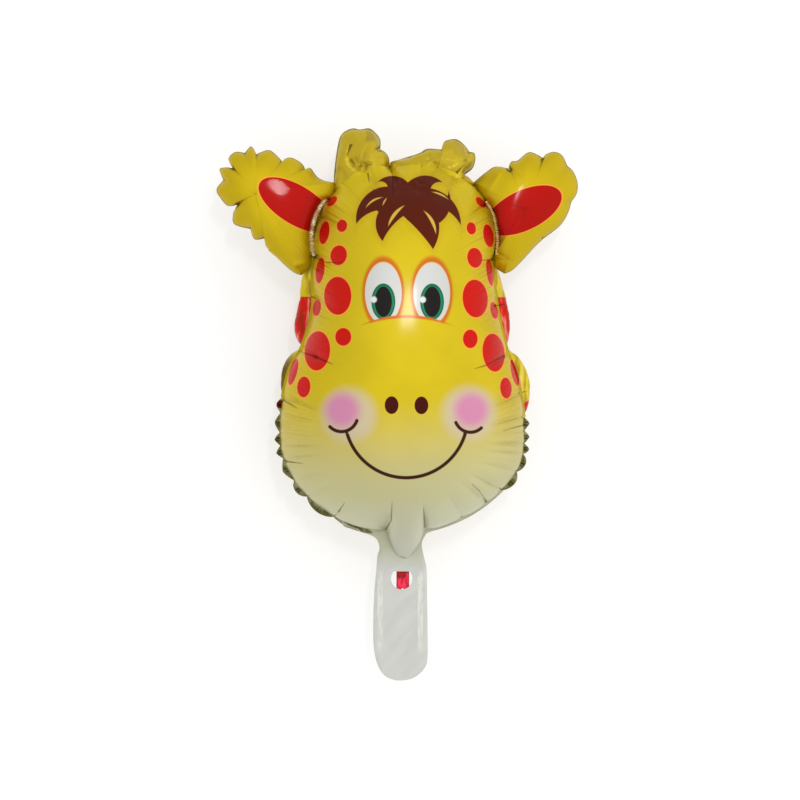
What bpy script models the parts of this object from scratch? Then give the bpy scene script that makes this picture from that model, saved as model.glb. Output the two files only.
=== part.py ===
"""Giraffe head foil balloon, blown up and lying on its back with the face up.

Two foil sheets are heat-sealed round one outline: the head, two ears and two horns hold air, and
the tail below the chin is flat. A strip of red valve film crosses the filling hole in the tail.
The envelope is sealed, so it is one solid. +Y runs from the tail to the horns and +Z is up.
"""

import math

import bmesh
import bpy
import numpy as np

# Driving sizes in metres
HEAD_HEIGHT = 0.350  # from the chin to the top of the taller horn
HEAD_DEPTH = 0.066  # from the seam to the front of the muzzle, and the same behind
FLAT_SPOT = 0.34  # share of the way out over which the back is pressed flat
WAIST_BULGE = 0.009  # how far the back stands out past the seam below the ears
EAR_DEPTH = 0.016  # half the thickness of a blown-up ear
HORN_DEPTH = 0.010
TONGUE_DEPTH = 0.006  # half the thickness of the air pocket that runs down into the tail
MARGIN_THICKNESS = 0.0010  # the two welded sheets and the air caught in their crumples
MUZZLE_MARGIN = 0.0055  # width of the welded margin round the muzzle, at the middle of a lobe
NARROW_MARGIN = 0.0020  # its width at a gather, and where ears, horns and back hide it
LOBE_MARGIN = 0.0035  # width of the margin round ears and horns
MARGIN_WAVE = 0.0022  # how far the muzzle's margin bends up and down

# Tail, filling hole and valve film
TAIL_WIDTH = 0.0475
TAIL_LENGTH = 0.129  # from the chin to the lower end
TAIL_CORNER = 0.021  # radius of the two lower corners
NECK_WIDTH = 0.0386  # width at the narrowest place
NECK_BELOW_CHIN = 0.0115
FULL_BELOW_CHIN = 0.058  # where the tail reaches its full width
FLARE_RADIUS = 0.0095  # of the hollow corner between neck and chin
TAIL_ROOT = 0.012  # length of tail inside the chin
TAIL_SKIN = 0.00045  # each side of the pocket that holds the valve film
HOLE_DIAMETER = 0.0187
HOLE_BELOW_CHIN = 0.0405
HOLE_OFFSET = 0.0012  # from the tail's middle line to the hole's centre, to the right
FILM_WIDTH = 0.0111
FILM_THICKNESS = 0.0003
FILM_OFFSET = 0.0009  # from the hole's centre to the film's middle line, to the right
FILM_TUCK = 0.012  # length of film held inside the tail above the hole
FILM_OVERLAP = 0.0008  # length of film held below the hole
NOTCH_WIDTH = 0.0028  # of the notch in the film's lower end
NOTCH_DEPTH = 0.0030
CLEARANCE = 0.0003
TAIL_THICKNESS = FILM_THICKNESS + 2 * CLEARANCE + 2 * TAIL_SKIN

# Forms as shares of the head's height, from the middle of the face, with x to the right
HEAD_OUTLINE = (
    (-0.020, 0.532), (0.090, 0.527), (0.186, 0.474), (0.229, 0.378), (0.231, 0.274), (0.236, 0.174),
    (0.256, 0.082), (0.293, 0.000), (0.299, -0.112), (0.286, -0.216), (0.206, -0.306), (0.102, -0.361),
    (-0.005, -0.378), (-0.134, -0.358), (-0.240, -0.288), (-0.299, -0.194), (-0.306, -0.087),
    (-0.286, 0.020), (-0.256, 0.082), (-0.236, 0.174), (-0.229, 0.286), (-0.221, 0.368),
    (-0.184, 0.460), (-0.104, 0.520),
)
CHIN = (-0.0090, -0.378)
# Where the head's seam is gathered, counted in steps from the outline's first point
GATHERS = (
    0.55, 1.40, 2.40, 3.75, 4.87, 6.20, 7.30, 7.82, 8.13, 8.43, 8.68, 9.12, 9.60, 10.00, 10.60, 11.45,
    12.45, 13.35, 14.00, 14.45, 15.00, 15.30, 15.60, 16.05, 16.40, 18.00, 19.30, 20.27, 21.40, 22.40,
    23.15, 23.85,
)
# Stretches with a broad, lobed margin, and stretches where the back bulges past the seam
MUZZLE = ((7.30, 9.60), (12.45, 16.40))
WAIST = ((3.65, 6.0), (6.0, 7.6), (16.4, 18.0), (18.0, 20.35))

# Each cusp of a lobed outline, anticlockwise: x, y and the bulge of the lobe that follows it
EAR_LEFT = (
    (-0.165, 0.430, 0.000), (-0.175, 0.494, 0.000), (-0.197, 0.495, 0.009), (-0.245, 0.522, 0.020),
    (-0.301, 0.540, 0.020), (-0.363, 0.558, 0.018), (-0.397, 0.562, 0.024), (-0.425, 0.525, 0.024),
    (-0.448, 0.495, 0.027), (-0.414, 0.434, 0.028), (-0.381, 0.374, 0.018), (-0.342, 0.352, 0.020),
    (-0.255, 0.260, 0.000), (-0.172, 0.303, 0.000),
)
EAR_RIGHT = (
    (0.170, 0.330, 0.000), (0.251, 0.262, 0.004), (0.302, 0.305, 0.000), (0.348, 0.349, 0.004),
    (0.391, 0.386, 0.000), (0.418, 0.444, 0.014), (0.424, 0.520, 0.000), (0.408, 0.536, 0.025),
    (0.348, 0.555, 0.021), (0.261, 0.528, 0.016), (0.180, 0.498, 0.000), (0.165, 0.430, 0.000),
)
HORN_LEFT = (
    (-0.045, 0.458, 0.000), (-0.036, 0.535, 0.010), (-0.060, 0.572, 0.002), (-0.059, 0.582, 0.010),
    (-0.086, 0.625, 0.002), (-0.126, 0.625, 0.006), (-0.159, 0.604, 0.002), (-0.172, 0.532, 0.000),
    (-0.185, 0.458, 0.000),
)
HORN_RIGHT = (
    (0.080, 0.458, 0.000), (0.140, 0.508, 0.012), (0.178, 0.552, 0.004), (0.163, 0.568, 0.028),
    (0.095, 0.574, 0.002), (0.058, 0.575, 0.002), (-0.012, 0.548, 0.002), (-0.033, 0.540, 0.000),
    (-0.030, 0.490, 0.000),
)
TONGUE = (
    (-0.055, -0.340, 0.000), (-0.045, -0.400, 0.002), (-0.025, -0.430, 0.002), (-0.002, -0.445, 0.002),
    (0.019, -0.422, 0.002), (0.034, -0.390, 0.000), (0.055, -0.340, 0.000),
)
EAR_CENTRES = ((-0.303, 0.433), (0.313, 0.423))
HORN_CENTRES = ((-0.109, 0.540), (0.102, 0.535))
TONGUE_CENTRE = (-0.002, -0.385)

# Valleys pressed into the horns: both ends, depth and half width
HORN_LEFT_FOLDS = (
    (-0.150, 0.470, -0.105, 0.590, 0.016, 0.016),
    (-0.100, 0.520, -0.040, 0.535, 0.013, 0.012),
)
HORN_RIGHT_FOLDS = (
    (0.020, 0.575, 0.060, 0.520, 0.010, 0.014),
    (0.085, 0.540, 0.160, 0.515, 0.013, 0.012),
)

# How the forms are divided and rounded
LOBE_STEPS = 4  # points along each lobe
LOBE_ROUNDING = 0.7  # below 1 a lobe is fuller than a sine
WAIST_FADE = 0.35  # steps of the outline over which a bulge begins and ends
HEAD_RINGS = 8
SMALL_RINGS = 4
ROUND_STEPS = 40  # sides of a full circle
TAPER_STEPS = 6
PROFILE_STEPS = 400
CREASE_DEPTH = 0.35  # share of the height that a gather takes away at the seam
CREASE_REACH = 0.35  # share of the way in over which a gather fades
SHAPE_HOLD = 3.0  # how fast the level lines lose the outline's waist towards the middle
WAIST_PEAK = 0.25  # share of the height at which the back bulges most
FOLD_START = 0.25  # share of the height over which a fold deepens from the seam
CUT_THROUGH = 4  # length of a cutter, in thicknesses of what it cuts
WELD_DISTANCE = 0.00001  # points of one mesh that are closer than this are one


def membrane_profile(count):
    """Shares of the way out and of the full depth along a blown-up sheet, from middle to seam."""
    angle = np.linspace(0, math.pi / 2, PROFILE_STEPS)
    out = np.sqrt(np.sin(angle))
    climbed = np.concatenate(([0], np.cumsum((out[1:] + out[:-1]) / 2 * np.diff(angle))))
    height = 1 - climbed / climbed[-1]
    along = np.concatenate(([0], np.cumsum(np.hypot(np.diff(out), np.diff(height)))))
    marks = np.linspace(0, along[-1], count + 1)
    return np.interp(marks, along, out), np.interp(marks, along, height)


def height_at(share):
    """Share of the full depth at one share of the way out."""
    out, height = membrane_profile(PROFILE_STEPS)
    return float(np.interp(share, out, height))


def smooth_loop(points, places):
    """Points of a closed Catmull-Rom curve, at places counted in steps between its points."""
    points = np.array(points)
    count = len(points)
    first = np.floor(places).astype(int)
    t = (places - first)[:, None]
    a, b, c, d = (points[(first + k) % count] for k in (-1, 0, 1, 2))
    return b + 0.5 * t * (c - a + t * (2 * a - 5 * b + 4 * c - d + t * (3 * b - a - 3 * c + d)))


def outward(loop):
    """Unit normals in the plan, pointing out of a closed loop that runs either way round."""
    along = np.roll(loop, -1, 0) - np.roll(loop, 1, 0)
    normal = np.column_stack((along[:, 1], -along[:, 0]))
    after = np.roll(loop, -1, 0)
    anticlockwise = np.sum(loop[:, 0] * after[:, 1] - after[:, 0] * loop[:, 1]) > 0
    return normal / np.linalg.norm(normal, axis=1)[:, None] * (1 if anticlockwise else -1)


def within(places, stretches, fade=0.0):
    """1 inside the given stretches of the outline and 0 outside, fading in from their ends."""
    inside = np.zeros(len(places))
    for start, end in stretches:
        depth = np.minimum(places - start, end - places)
        inside = np.maximum(inside, np.clip(depth / fade, 0, 1) if fade else depth > 0)
    return inside


def head_samples():
    """Places round the head's outline, how far each is into its lobe, and each lobe's number."""
    places, lobe, number = [], [], []
    ends = GATHERS[1:] + (GATHERS[0] + len(HEAD_OUTLINE),)
    for k, (start, end) in enumerate(zip(GATHERS, ends)):
        for i in range(LOBE_STEPS):
            places.append(start + (end - start) * i / LOBE_STEPS)
            lobe.append(math.sin(math.pi * i / LOBE_STEPS))
            number.append(k)
    return np.array(places), np.array(lobe), np.array(number)


def lobed_loop(cusps):
    """Points round an outline whose lobes bulge between cusps, and how far each is into its lobe."""
    points, lobe = [], []
    for k, (x, y, bulge) in enumerate(cusps):
        next_x, next_y, _ = cusps[(k + 1) % len(cusps)]
        run, rise = next_x - x, next_y - y
        length = math.hypot(run, rise)
        for i in range(LOBE_STEPS):
            t = i / LOBE_STEPS
            push = bulge * math.sin(math.pi * t) ** LOBE_ROUNDING / length
            points.append((x + run * t + rise * push, y + rise * t - run * push))
            lobe.append(math.sin(math.pi * t) if bulge else 1.0)
    return np.array(points), np.array(lobe)


def softened(loop, centre, waves=2):
    """The loop with only its broadest swings kept, for the level lines near the middle."""
    reach = np.linalg.norm(loop - centre, axis=1)
    angle = np.arctan2(loop[:, 1] - centre[1], loop[:, 0] - centre[0])
    swings = [np.ones_like(angle)]
    for k in range(1, waves + 1):
        swings += [np.cos(k * angle), np.sin(k * angle)]
    swings = np.column_stack(swings)
    fit = swings @ np.linalg.lstsq(swings, reach, rcond=None)[0]
    return centre + (loop - centre) * (fit / reach)[:, None]


def bulge_at(rise):
    """Share of the waist's bulge at one share of the height: none at the seam, 1 at its peak."""
    power = 1 / WAIST_PEAK - 1
    return rise * (1 - rise) ** power / (WAIST_PEAK * (1 - WAIST_PEAK) ** power)


def fold_depth(flat, folds):
    """How far the folds press in at each point of the plan."""
    depth = np.zeros(len(flat))
    for x1, y1, x2, y2, deep, half in folds:
        start = np.array((x1, y1)) * HEAD_HEIGHT
        run = np.array((x2, y2)) * HEAD_HEIGHT - start
        t = np.clip((flat - start) @ run / (run @ run), 0, 1)
        away = np.linalg.norm(flat - start - t[:, None] * run, axis=1)
        depth += deep * HEAD_HEIGHT * np.exp(-((away / (half * HEAD_HEIGHT)) ** 2))
    return depth


def closed_object(name, mesh):
    """An object whose caps are welded and whose faces all point out."""
    shape = bmesh.new()
    shape.from_mesh(mesh)
    bmesh.ops.remove_doubles(shape, verts=shape.verts, dist=WELD_DISTANCE)
    bmesh.ops.recalc_face_normals(shape, faces=shape.faces)
    shape.to_mesh(mesh)
    shape.free()
    return bpy.data.objects.new(name, mesh)


def chamber(name, loop, centre, margin, depth, rings, lobe, lift=0.0, waist=0.0, flat_spot=0.0, folds=()):
    """A blown-up chamber: the welded margin, with a sheet rising from it on each side."""
    count = len(loop)
    reach = np.linalg.norm(loop - centre, axis=1)
    weld = centre + (loop - centre) * (1 - margin / reach)[:, None]
    soft = softened(weld, centre)
    outside = outward(loop)
    out, height = membrane_profile(rings)
    if flat_spot:
        out[1], height[1] = flat_spot, height_at(flat_spot)
    lift, waist = np.broadcast_to(lift, count), np.broadcast_to(waist, count)
    half = MARGIN_THICKNESS / 2

    def level(share, rise, side):
        """One ring of points, at a share of the way out and of the depth, on one side."""
        hold = share**SHAPE_HOLD
        flat = centre + share * ((1 - hold) * (soft - centre) + hold * (weld - centre))
        near = np.clip(1 - (1 - share) / CREASE_REACH, 0, 1) ** 2
        full = depth * rise * (1 - CREASE_DEPTH * near * (1 - lobe))
        if side < 0:
            flat = flat + outside * (waist * bulge_at(rise))[:, None]
            if flat_spot:
                full = np.minimum(full, depth * height_at(flat_spot))
        full = np.maximum(full - fold_depth(flat, folds) * min(1.0, rise / FOLD_START), 0)
        return np.column_stack((flat, side * (half + full) + lift * near))

    layers = [level(out[i], height[i], 1) for i in range(1, rings + 1)]
    layers += [np.column_stack((loop, half * side + lift)) for side in (1, -1)]
    layers += [level(out[i], height[i], -1) for i in range(rings, 0, -1)]
    crown = half + depth - fold_depth(np.array([centre]), folds)[0]
    bottom = half + depth * height_at(flat_spot) if flat_spot else crown
    verts = np.vstack((*layers, (*centre, crown), (*centre, -bottom)))
    top, under, last = len(verts) - 2, len(verts) - 1, (len(layers) - 1) * count
    faces = []
    for j in range(count):
        k = (j + 1) % count
        faces += [(top, k, j), (under, last + j, last + k)]
        for row in range(0, last, count):
            faces.append((row + j, row + k, row + count + k, row + count + j))
    mesh = bpy.data.meshes.new(name)
    mesh.from_pydata([tuple(v) for v in verts], [], faces)
    return closed_object(name, mesh)


def head():
    places, lobe, number = head_samples()
    loop = smooth_loop(HEAD_OUTLINE, places) * HEAD_HEIGHT
    broad = within(places, MUZZLE) * lobe
    margin = NARROW_MARGIN + (MUZZLE_MARGIN - NARROW_MARGIN) * broad
    return chamber(
        "foil_body", loop + outward(loop) * margin[:, None], np.zeros(2), margin, HEAD_DEPTH, HEAD_RINGS,
        lobe, lift=MARGIN_WAVE * broad * np.where(number % 2, 1, -1),
        waist=WAIST_BULGE * within(places, WAIST, WAIST_FADE), flat_spot=FLAT_SPOT,
    )


def small_chamber(name, cusps, centre, depth, folds=()):
    loop, lobe = lobed_loop(cusps)
    centre = np.array(centre) * HEAD_HEIGHT
    return chamber(name, loop * HEAD_HEIGHT, centre, LOBE_MARGIN, depth, SMALL_RINGS, lobe, folds=folds)


def flat_piece(name, outline, thickness):
    """A flat outline as a closed solid of even thickness, with the seam's plane through its middle."""
    curve = bpy.data.curves.new(name, "CURVE")
    curve.dimensions = "2D"
    curve.fill_mode = "BOTH"
    curve.extrude = thickness / 2
    spline = curve.splines.new("POLY")
    spline.points.add(len(outline) - 1)
    for point, (x, y) in zip(spline.points, outline):
        point.co = (x, y, 0, 1)
    spline.use_cyclic_u = True
    drawn = bpy.data.objects.new(name, curve)
    bpy.context.scene.collection.objects.link(drawn)
    mesh = bpy.data.meshes.new_from_object(drawn.evaluated_get(bpy.context.evaluated_depsgraph_get()))
    bpy.data.objects.remove(drawn)
    return closed_object(name, mesh)


def tail():
    """The tail flares out of the chin, widens from its neck and ends in two round corners."""
    neck, full, steps = NECK_WIDTH / 2, TAIL_WIDTH / 2, ROUND_STEPS // 4
    edge = [(neck + FLARE_RADIUS, -TAIL_ROOT)]
    for i in range(steps + 1):
        angle = math.pi / 2 * (1 - i / steps)
        edge.append((
            neck + FLARE_RADIUS * (1 - math.cos(angle)),
            NECK_BELOW_CHIN - FLARE_RADIUS * math.sin(angle),
        ))
    for i in range(1, TAPER_STEPS + 1):
        t = i / TAPER_STEPS
        wide = neck + (full - neck) * t * t * (3 - 2 * t)
        edge.append((wide, NECK_BELOW_CHIN + (FULL_BELOW_CHIN - NECK_BELOW_CHIN) * t))
    for i in range(steps + 1):
        angle = math.pi / 2 * i / steps
        edge.append((
            full - TAIL_CORNER * (1 - math.cos(angle)),
            TAIL_LENGTH - TAIL_CORNER * (1 - math.sin(angle)),
        ))
    x, y = (share * HEAD_HEIGHT for share in CHIN)
    right = [(x + out, y - down) for out, down in edge]
    left = [(x - out, y - down) for out, down in reversed(edge)]
    return flat_piece("tail", right + left, TAIL_THICKNESS)


def hole_centre():
    return CHIN[0] * HEAD_HEIGHT + HOLE_OFFSET, CHIN[1] * HEAD_HEIGHT - HOLE_BELOW_CHIN


def film_ends():
    """Heights of the valve film's upper and lower end in the plan."""
    y, radius = hole_centre()[1], HOLE_DIAMETER / 2
    return y + radius + FILM_TUCK, y - radius - FILM_OVERLAP


def valve_film():
    x = hole_centre()[0] + FILM_OFFSET
    top, low = film_ends()
    half = FILM_WIDTH / 2
    outline = [
        (x - half, top), (x + half, top), (x + half, low), (x + NOTCH_WIDTH / 2, low),
        (x, low + NOTCH_DEPTH), (x - NOTCH_WIDTH / 2, low), (x - half, low),
    ]
    return flat_piece("valve_film", outline, FILM_THICKNESS)


def film_pocket():
    x = hole_centre()[0] + FILM_OFFSET
    top, low = film_ends()
    half = FILM_WIDTH / 2 + CLEARANCE
    left, right, top, low = x - half, x + half, top + CLEARANCE, low - CLEARANCE
    outline = [(left, low), (right, low), (right, top), (left, top)]
    return flat_piece("film_pocket", outline, FILM_THICKNESS + 2 * CLEARANCE)


def filling_hole():
    shape = bmesh.new()
    bmesh.ops.create_cone(
        shape, segments=ROUND_STEPS, cap_ends=True, depth=CUT_THROUGH * TAIL_THICKNESS,
        radius1=HOLE_DIAMETER / 2, radius2=HOLE_DIAMETER / 2,
    )
    bmesh.ops.translate(shape, verts=shape.verts, vec=(*hole_centre(), 0))
    mesh = bpy.data.meshes.new("filling_hole")
    shape.to_mesh(mesh)
    shape.free()
    return closed_object("filling_hole", mesh)


def combine(target, other, operation, shapes):
    """Joins a shape to the target or cuts it out, and keeps the shape as a guide."""
    shapes.objects.link(other)
    other.hide_render = True
    other.display_type = "WIRE"
    step = target.modifiers.new(other.name, "BOOLEAN")
    step.operation = operation
    step.solver = "EXACT"
    step.object = other


def finish(piece, name, colour, roughness, metallic):
    material = bpy.data.materials.new(name)
    material.use_nodes = True
    shader = material.node_tree.nodes["Principled BSDF"]
    shader.inputs["Base Color"].default_value = (*colour, 1)
    shader.inputs["Roughness"].default_value = roughness
    shader.inputs["Metallic"].default_value = metallic
    piece.data.materials.clear()
    piece.data.materials.append(material)


def stand_on_floor(pieces):
    """Puts the middle of the whole balloon's underside at the origin."""
    depsgraph = bpy.context.evaluated_depsgraph_get()
    corners = []
    for piece in pieces:
        corners += [v.co for v in piece.evaluated_get(depsgraph).data.vertices]
    corners = np.array(corners)
    middle = (corners.min(0) + corners.max(0)) / 2
    return -middle[0], -middle[1], -corners[:, 2].min()


def build():
    for old in list(bpy.data.objects):
        bpy.data.objects.remove(old)
    parts = bpy.data.collections.new("giraffe foil balloon")
    shapes = bpy.data.collections.new("joined and cut shapes")
    for collection in (parts, shapes):
        bpy.context.scene.collection.children.link(collection)

    body, film = head(), valve_film()
    parts.objects.link(body)
    parts.objects.link(film)
    combine(body, small_chamber("ear_left", EAR_LEFT, EAR_CENTRES[0], EAR_DEPTH), "UNION", shapes)
    combine(body, small_chamber("ear_right", EAR_RIGHT, EAR_CENTRES[1], EAR_DEPTH), "UNION", shapes)
    horn = small_chamber("horn_left", HORN_LEFT, HORN_CENTRES[0], HORN_DEPTH, HORN_LEFT_FOLDS)
    combine(body, horn, "UNION", shapes)
    horn = small_chamber("horn_right", HORN_RIGHT, HORN_CENTRES[1], HORN_DEPTH, HORN_RIGHT_FOLDS)
    combine(body, horn, "UNION", shapes)
    combine(body, small_chamber("tongue", TONGUE, TONGUE_CENTRE, TONGUE_DEPTH), "UNION", shapes)
    combine(body, tail(), "UNION", shapes)
    combine(body, filling_hole(), "DIFFERENCE", shapes)
    combine(body, film_pocket(), "DIFFERENCE", shapes)
    finish(body, "yellow printed foil", (0.68, 0.52, 0.03), 0.3, 0.5)
    finish(film, "red valve film", (0.75, 0.02, 0.06), 0.25, 0.0)

    balloon = bpy.data.objects.new("balloon", None)
    parts.objects.link(balloon)
    balloon.location = stand_on_floor((body, film))
    for piece in (body, film, *shapes.objects):
        piece.parent = balloon


build()
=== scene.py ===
"""Looks of the giraffe foil balloon: printed and clear film, pleats, welds and the red valve."""

import math

import bmesh
import bpy
import numpy as np
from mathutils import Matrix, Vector
from mathutils.bvhtree import BVHTree


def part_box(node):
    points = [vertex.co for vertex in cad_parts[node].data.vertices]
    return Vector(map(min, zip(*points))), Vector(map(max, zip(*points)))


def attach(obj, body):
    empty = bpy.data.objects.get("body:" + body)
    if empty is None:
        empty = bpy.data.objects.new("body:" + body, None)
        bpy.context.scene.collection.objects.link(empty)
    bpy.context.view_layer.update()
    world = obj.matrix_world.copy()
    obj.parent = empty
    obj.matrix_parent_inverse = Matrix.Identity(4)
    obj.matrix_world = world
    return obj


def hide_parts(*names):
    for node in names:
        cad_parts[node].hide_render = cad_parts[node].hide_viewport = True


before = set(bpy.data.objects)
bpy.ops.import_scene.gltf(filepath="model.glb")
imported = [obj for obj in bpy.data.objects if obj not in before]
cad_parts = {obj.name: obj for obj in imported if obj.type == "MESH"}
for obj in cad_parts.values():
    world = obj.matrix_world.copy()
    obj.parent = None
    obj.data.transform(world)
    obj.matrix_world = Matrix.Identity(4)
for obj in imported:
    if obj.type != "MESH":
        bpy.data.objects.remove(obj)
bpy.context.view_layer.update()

# The head: a front and a back sheet of printed foil, heat-sealed round one outline and blown up.
# Foil doesn't stretch, so the seam gathers in lobes, and a pleat runs in from each gather.
HEAD_HEIGHT = 0.350  # from the chin to the top of the taller horn
HEAD_DEPTH = 0.066  # from the seam to the front of the muzzle, and the same behind
RIDGE_RADIUS = 0.70  # the bow of the front from chin to brow
RIDGE_TOP = -0.010  # height on the face where the front is deepest
RIDGE = (-0.17, 0.30)  # both ends of the ridge, as shares of the head's height
RIDGE_FALL = (-0.12, 0.53)  # between these heights on the outline the ridge's end moves up
BACK_FLAT = 0.0645  # depth at which the back is pressed flat
SHEET_THICKNESS = 0.0004  # the two welded sheets
MUZZLE_MARGIN = 0.0052
NARROW_MARGIN = 0.0020
MARGIN_WAVE = 0.0030
TOOTH_GAP = 0.3  # share of the narrow margin that is left between two teeth
SHORT_SHARE = 0.7  # of a tooth's width on the short lobe
TAIL_LENGTH = 0.129
FILM_FROM_FACE = -0.00105  # the valve film's middle line, to the right of the face's middle
# The seam, in shares of the head's height from the face's middle, clockwise from the brow
CHIN = -0.378
HEAD_OUTLINE = (
    (-0.020, 0.532), (0.090, 0.527), (0.186, 0.474), (0.227, 0.378), (0.222, 0.274), (0.233, 0.174),
    (0.254, 0.082), (0.282, 0.000), (0.299, -0.112), (0.286, -0.216), (0.206, -0.306), (0.102, -0.361),
    (-0.005, -0.378), (-0.134, -0.358), (-0.240, -0.288), (-0.299, -0.194), (-0.306, -0.087),
    (-0.286, 0.020), (-0.253, 0.082), (-0.227, 0.174), (-0.227, 0.286), (-0.221, 0.368),
    (-0.184, 0.460), (-0.104, 0.520),
)
# Where the seam gathers, in steps along the outline, and the stretches with a broad toothed margin
GATHERS = (
    0.55, 1.40, 2.40, 3.75, 4.87, 6.20, 7.30, 7.82, 8.13, 8.43, 8.68, 9.12, 9.60, 10.00, 10.60, 11.45,
    12.32, 13.35, 14.00, 14.45, 15.00, 15.30, 15.60, 16.05, 16.40, 18.00, 19.30, 20.27, 21.40, 22.40,
    23.15, 23.85,
)
MUZZLE = ((7.82, 9.60), (12.32, 16.40))
WAIST = (  # where the back stands out past the seam below the ears: start, end, fullest place and how far
    (3.65, 6.0, 5.1, 0.0125), (6.0, 7.82, 7.0, 0.0140), (16.4, 18.0, 17.2, 0.0085),
    (18.0, 20.35, 18.7, 0.0150),
)
WAIST_PEAK = 0.25
SHAPE_HOLD = 3.0
LOBE_DEPTH = 0.32  # share of the height that a gather takes away at the seam
LOBE_REACH = 0.35
PROFILE_STEPS = 600
ROUND_LOBES = ((8.6, 14.4),)  # the margin's lobes are pointed outside this stretch
SHORT_LOBE = ((12.32, 13.35),)
SOFT_SHIFTS = (-2.4, -1.6, -0.8, 0, 0.8, 1.6, 2.4)
SOFT_WEIGHTS = (0.07, 0.13, 0.19, 0.22, 0.19, 0.13, 0.07)
GATHER_DEPTHS = (0.0010, 0.0024)
GATHER_REACHES = (0.010, 0.024)
FINE_PLEATS = 190
FINE_DEPTHS = (0.00012, 0.00050)
FINE_REACHES = (0.010, 0.034)
PLEAT_WIDTH = 0.0011
PLEAT_SPREADS = (0.0015, 0.0010)  # of the pleats at the gathers and of the fine ones
TOOTHED_PLEATS = 0.45  # share of the pleats' depth where the margin is toothed
FAR_FROM_PLEATS = 5.0  # millimetres, for the rim, which has none
CRUMPLE_RANGES = ((0, 0.016, 0, 0), (math.pi, 0.026, 6.28, 6.28))  # direction, length, start and bend
BEND_DEPTH = 0.9
BEND_LENGTH = 0.031
BROW_CRUMPLES = 0.0020
BROW_FOLDS = 6
BROW_HEIGHTS = (0.148, 0.172)  # the brow's crumples start and are full at these heights
BROW_SHARES = (0.55, 0.75)  # and this far out
PLEAT_STARTS = (0.003, 0.002)  # how far in the pleats are full: on the head, and on ears and horns

body_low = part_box("foil_body")[0]
film_low, film_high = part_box("valve_film")
FACE = np.array((
    (film_low.x + film_high.x) / 2 - FILM_FROM_FACE,
    body_low.y + TAIL_LENGTH - CHIN * HEAD_HEIGHT,
    (film_low.z + film_high.z) / 2,
))
rng = np.random.default_rng(7)


def membrane_profile(count):
    """Shares of the way out and of the full depth along a blown-up sheet, from a small ring round
    its middle to the seam."""
    angle = np.linspace(0, math.pi / 2, PROFILE_STEPS)
    out = np.sqrt(np.sin(angle))
    climbed = np.concatenate(([0], np.cumsum((out[1:] + out[:-1]) / 2 * np.diff(angle))))
    height = 1 - climbed / climbed[-1]
    along = np.concatenate(([0], np.cumsum(np.hypot(np.diff(out), np.diff(height)))))
    marks = np.linspace(0, along[-1], count + 1)
    shares, rises = np.interp(marks, along, out), np.interp(marks, along, height)
    shares[0], rises[0] = shares[1] / 2, 1.0
    return shares, rises


def smooth_loop(points, places):
    """Points of a closed Catmull-Rom curve, at places counted in steps between its points."""
    points = np.array(points)
    count = len(points)
    first = np.floor(places).astype(int)
    t = (places - first)[:, None]
    a, b, c, d = (points[(first + k) % count] for k in (-1, 0, 1, 2))
    return b + 0.5 * t * (c - a + t * (2 * a - 5 * b + 4 * c - d + t * (3 * b - a - 3 * c + d)))


def outward(loop):
    """Unit normals in the plan, pointing out of a closed loop that runs either way round."""
    along = np.roll(loop, -1, 0) - np.roll(loop, 1, 0)
    normal = np.column_stack((along[:, 1], -along[:, 0]))
    after = np.roll(loop, -1, 0)
    anticlockwise = np.sum(loop[:, 0] * after[:, 1] - after[:, 0] * loop[:, 1]) > 0
    return normal / np.linalg.norm(normal, axis=1)[:, None] * (1 if anticlockwise else -1)


def within(places, stretches):
    """1 inside the given stretches of the outline and 0 outside."""
    return sum(((places > start) & (places < end)).astype(float) for start, end in stretches)


def smooth_step(value, start, end):
    """From 0 at the start to 1 at the end, level at both."""
    t = np.clip((value - start) / (end - start), 0, 1)
    return t * t * (3 - 2 * t)


def seam_length(loop):
    """Distance along the seam at each of its points, and the whole way round."""
    step = np.linalg.norm(np.roll(loop, -1, 0) - loop, axis=1)
    return np.concatenate(([0], np.cumsum(step[:-1]))), step.sum()


def nearest_mark(along, whole, marks):
    """Distance along the seam to the nearest of some marks on it, and which one that is."""
    apart = np.abs(along[:, None] - np.array(marks)[None, :])
    apart = np.minimum(apart, whole - apart)
    which = apart.argmin(1)
    return apart[np.arange(len(along)), which], which


def spaced(steps):
    """Ways through a lobe from 0 up to 1, closer together at both ends, where the pleats are."""
    even = np.arange(steps) / steps
    return even - 0.6 * np.sin(2 * math.pi * even) / (2 * math.pi)


def pleats(far, deep, reach, width, share, way_in):
    """How deep the pleats are at one ring: sharp at the seam, and fading on the way in."""
    across = far * share / width
    sharp = 0.6 * np.exp(-across) + 0.4 * np.exp(-((across / 3) ** 2))
    return deep * sharp * np.exp(-((way_in / reach) ** 2))


def gathered(grid, shares, start, kinds, sharp, fade):
    """How deep the pleats of a sheet are at each point, and how many millimetres it is from a sharp
    one of the first kind, which is as wide as PLEAT_WIDTH at the seam and narrows inwards."""
    share = shares[:, None]
    way_in = np.linalg.norm(grid - grid[-1], axis=2)
    depth = sum(pleats(*kind, share, way_in) for kind in kinds) * np.clip(way_in / start, 0, 1)
    far, _, reach, _ = kinds[0]
    return depth, 1000 * (far * share - PLEAT_WIDTH / 2 * (sharp - way_in / reach / fade))


def as_printed(points):
    """Where on the flat artwork each point lies: the artwork is laid out square to the face as
    seen from EYE, so a point takes the place in the seam's plane that it covers from there."""
    toward = (points - EYE) / (EYE[2] - points[..., 2])[..., None] * EYE[2]
    return (EYE + toward)[..., :2]


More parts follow.
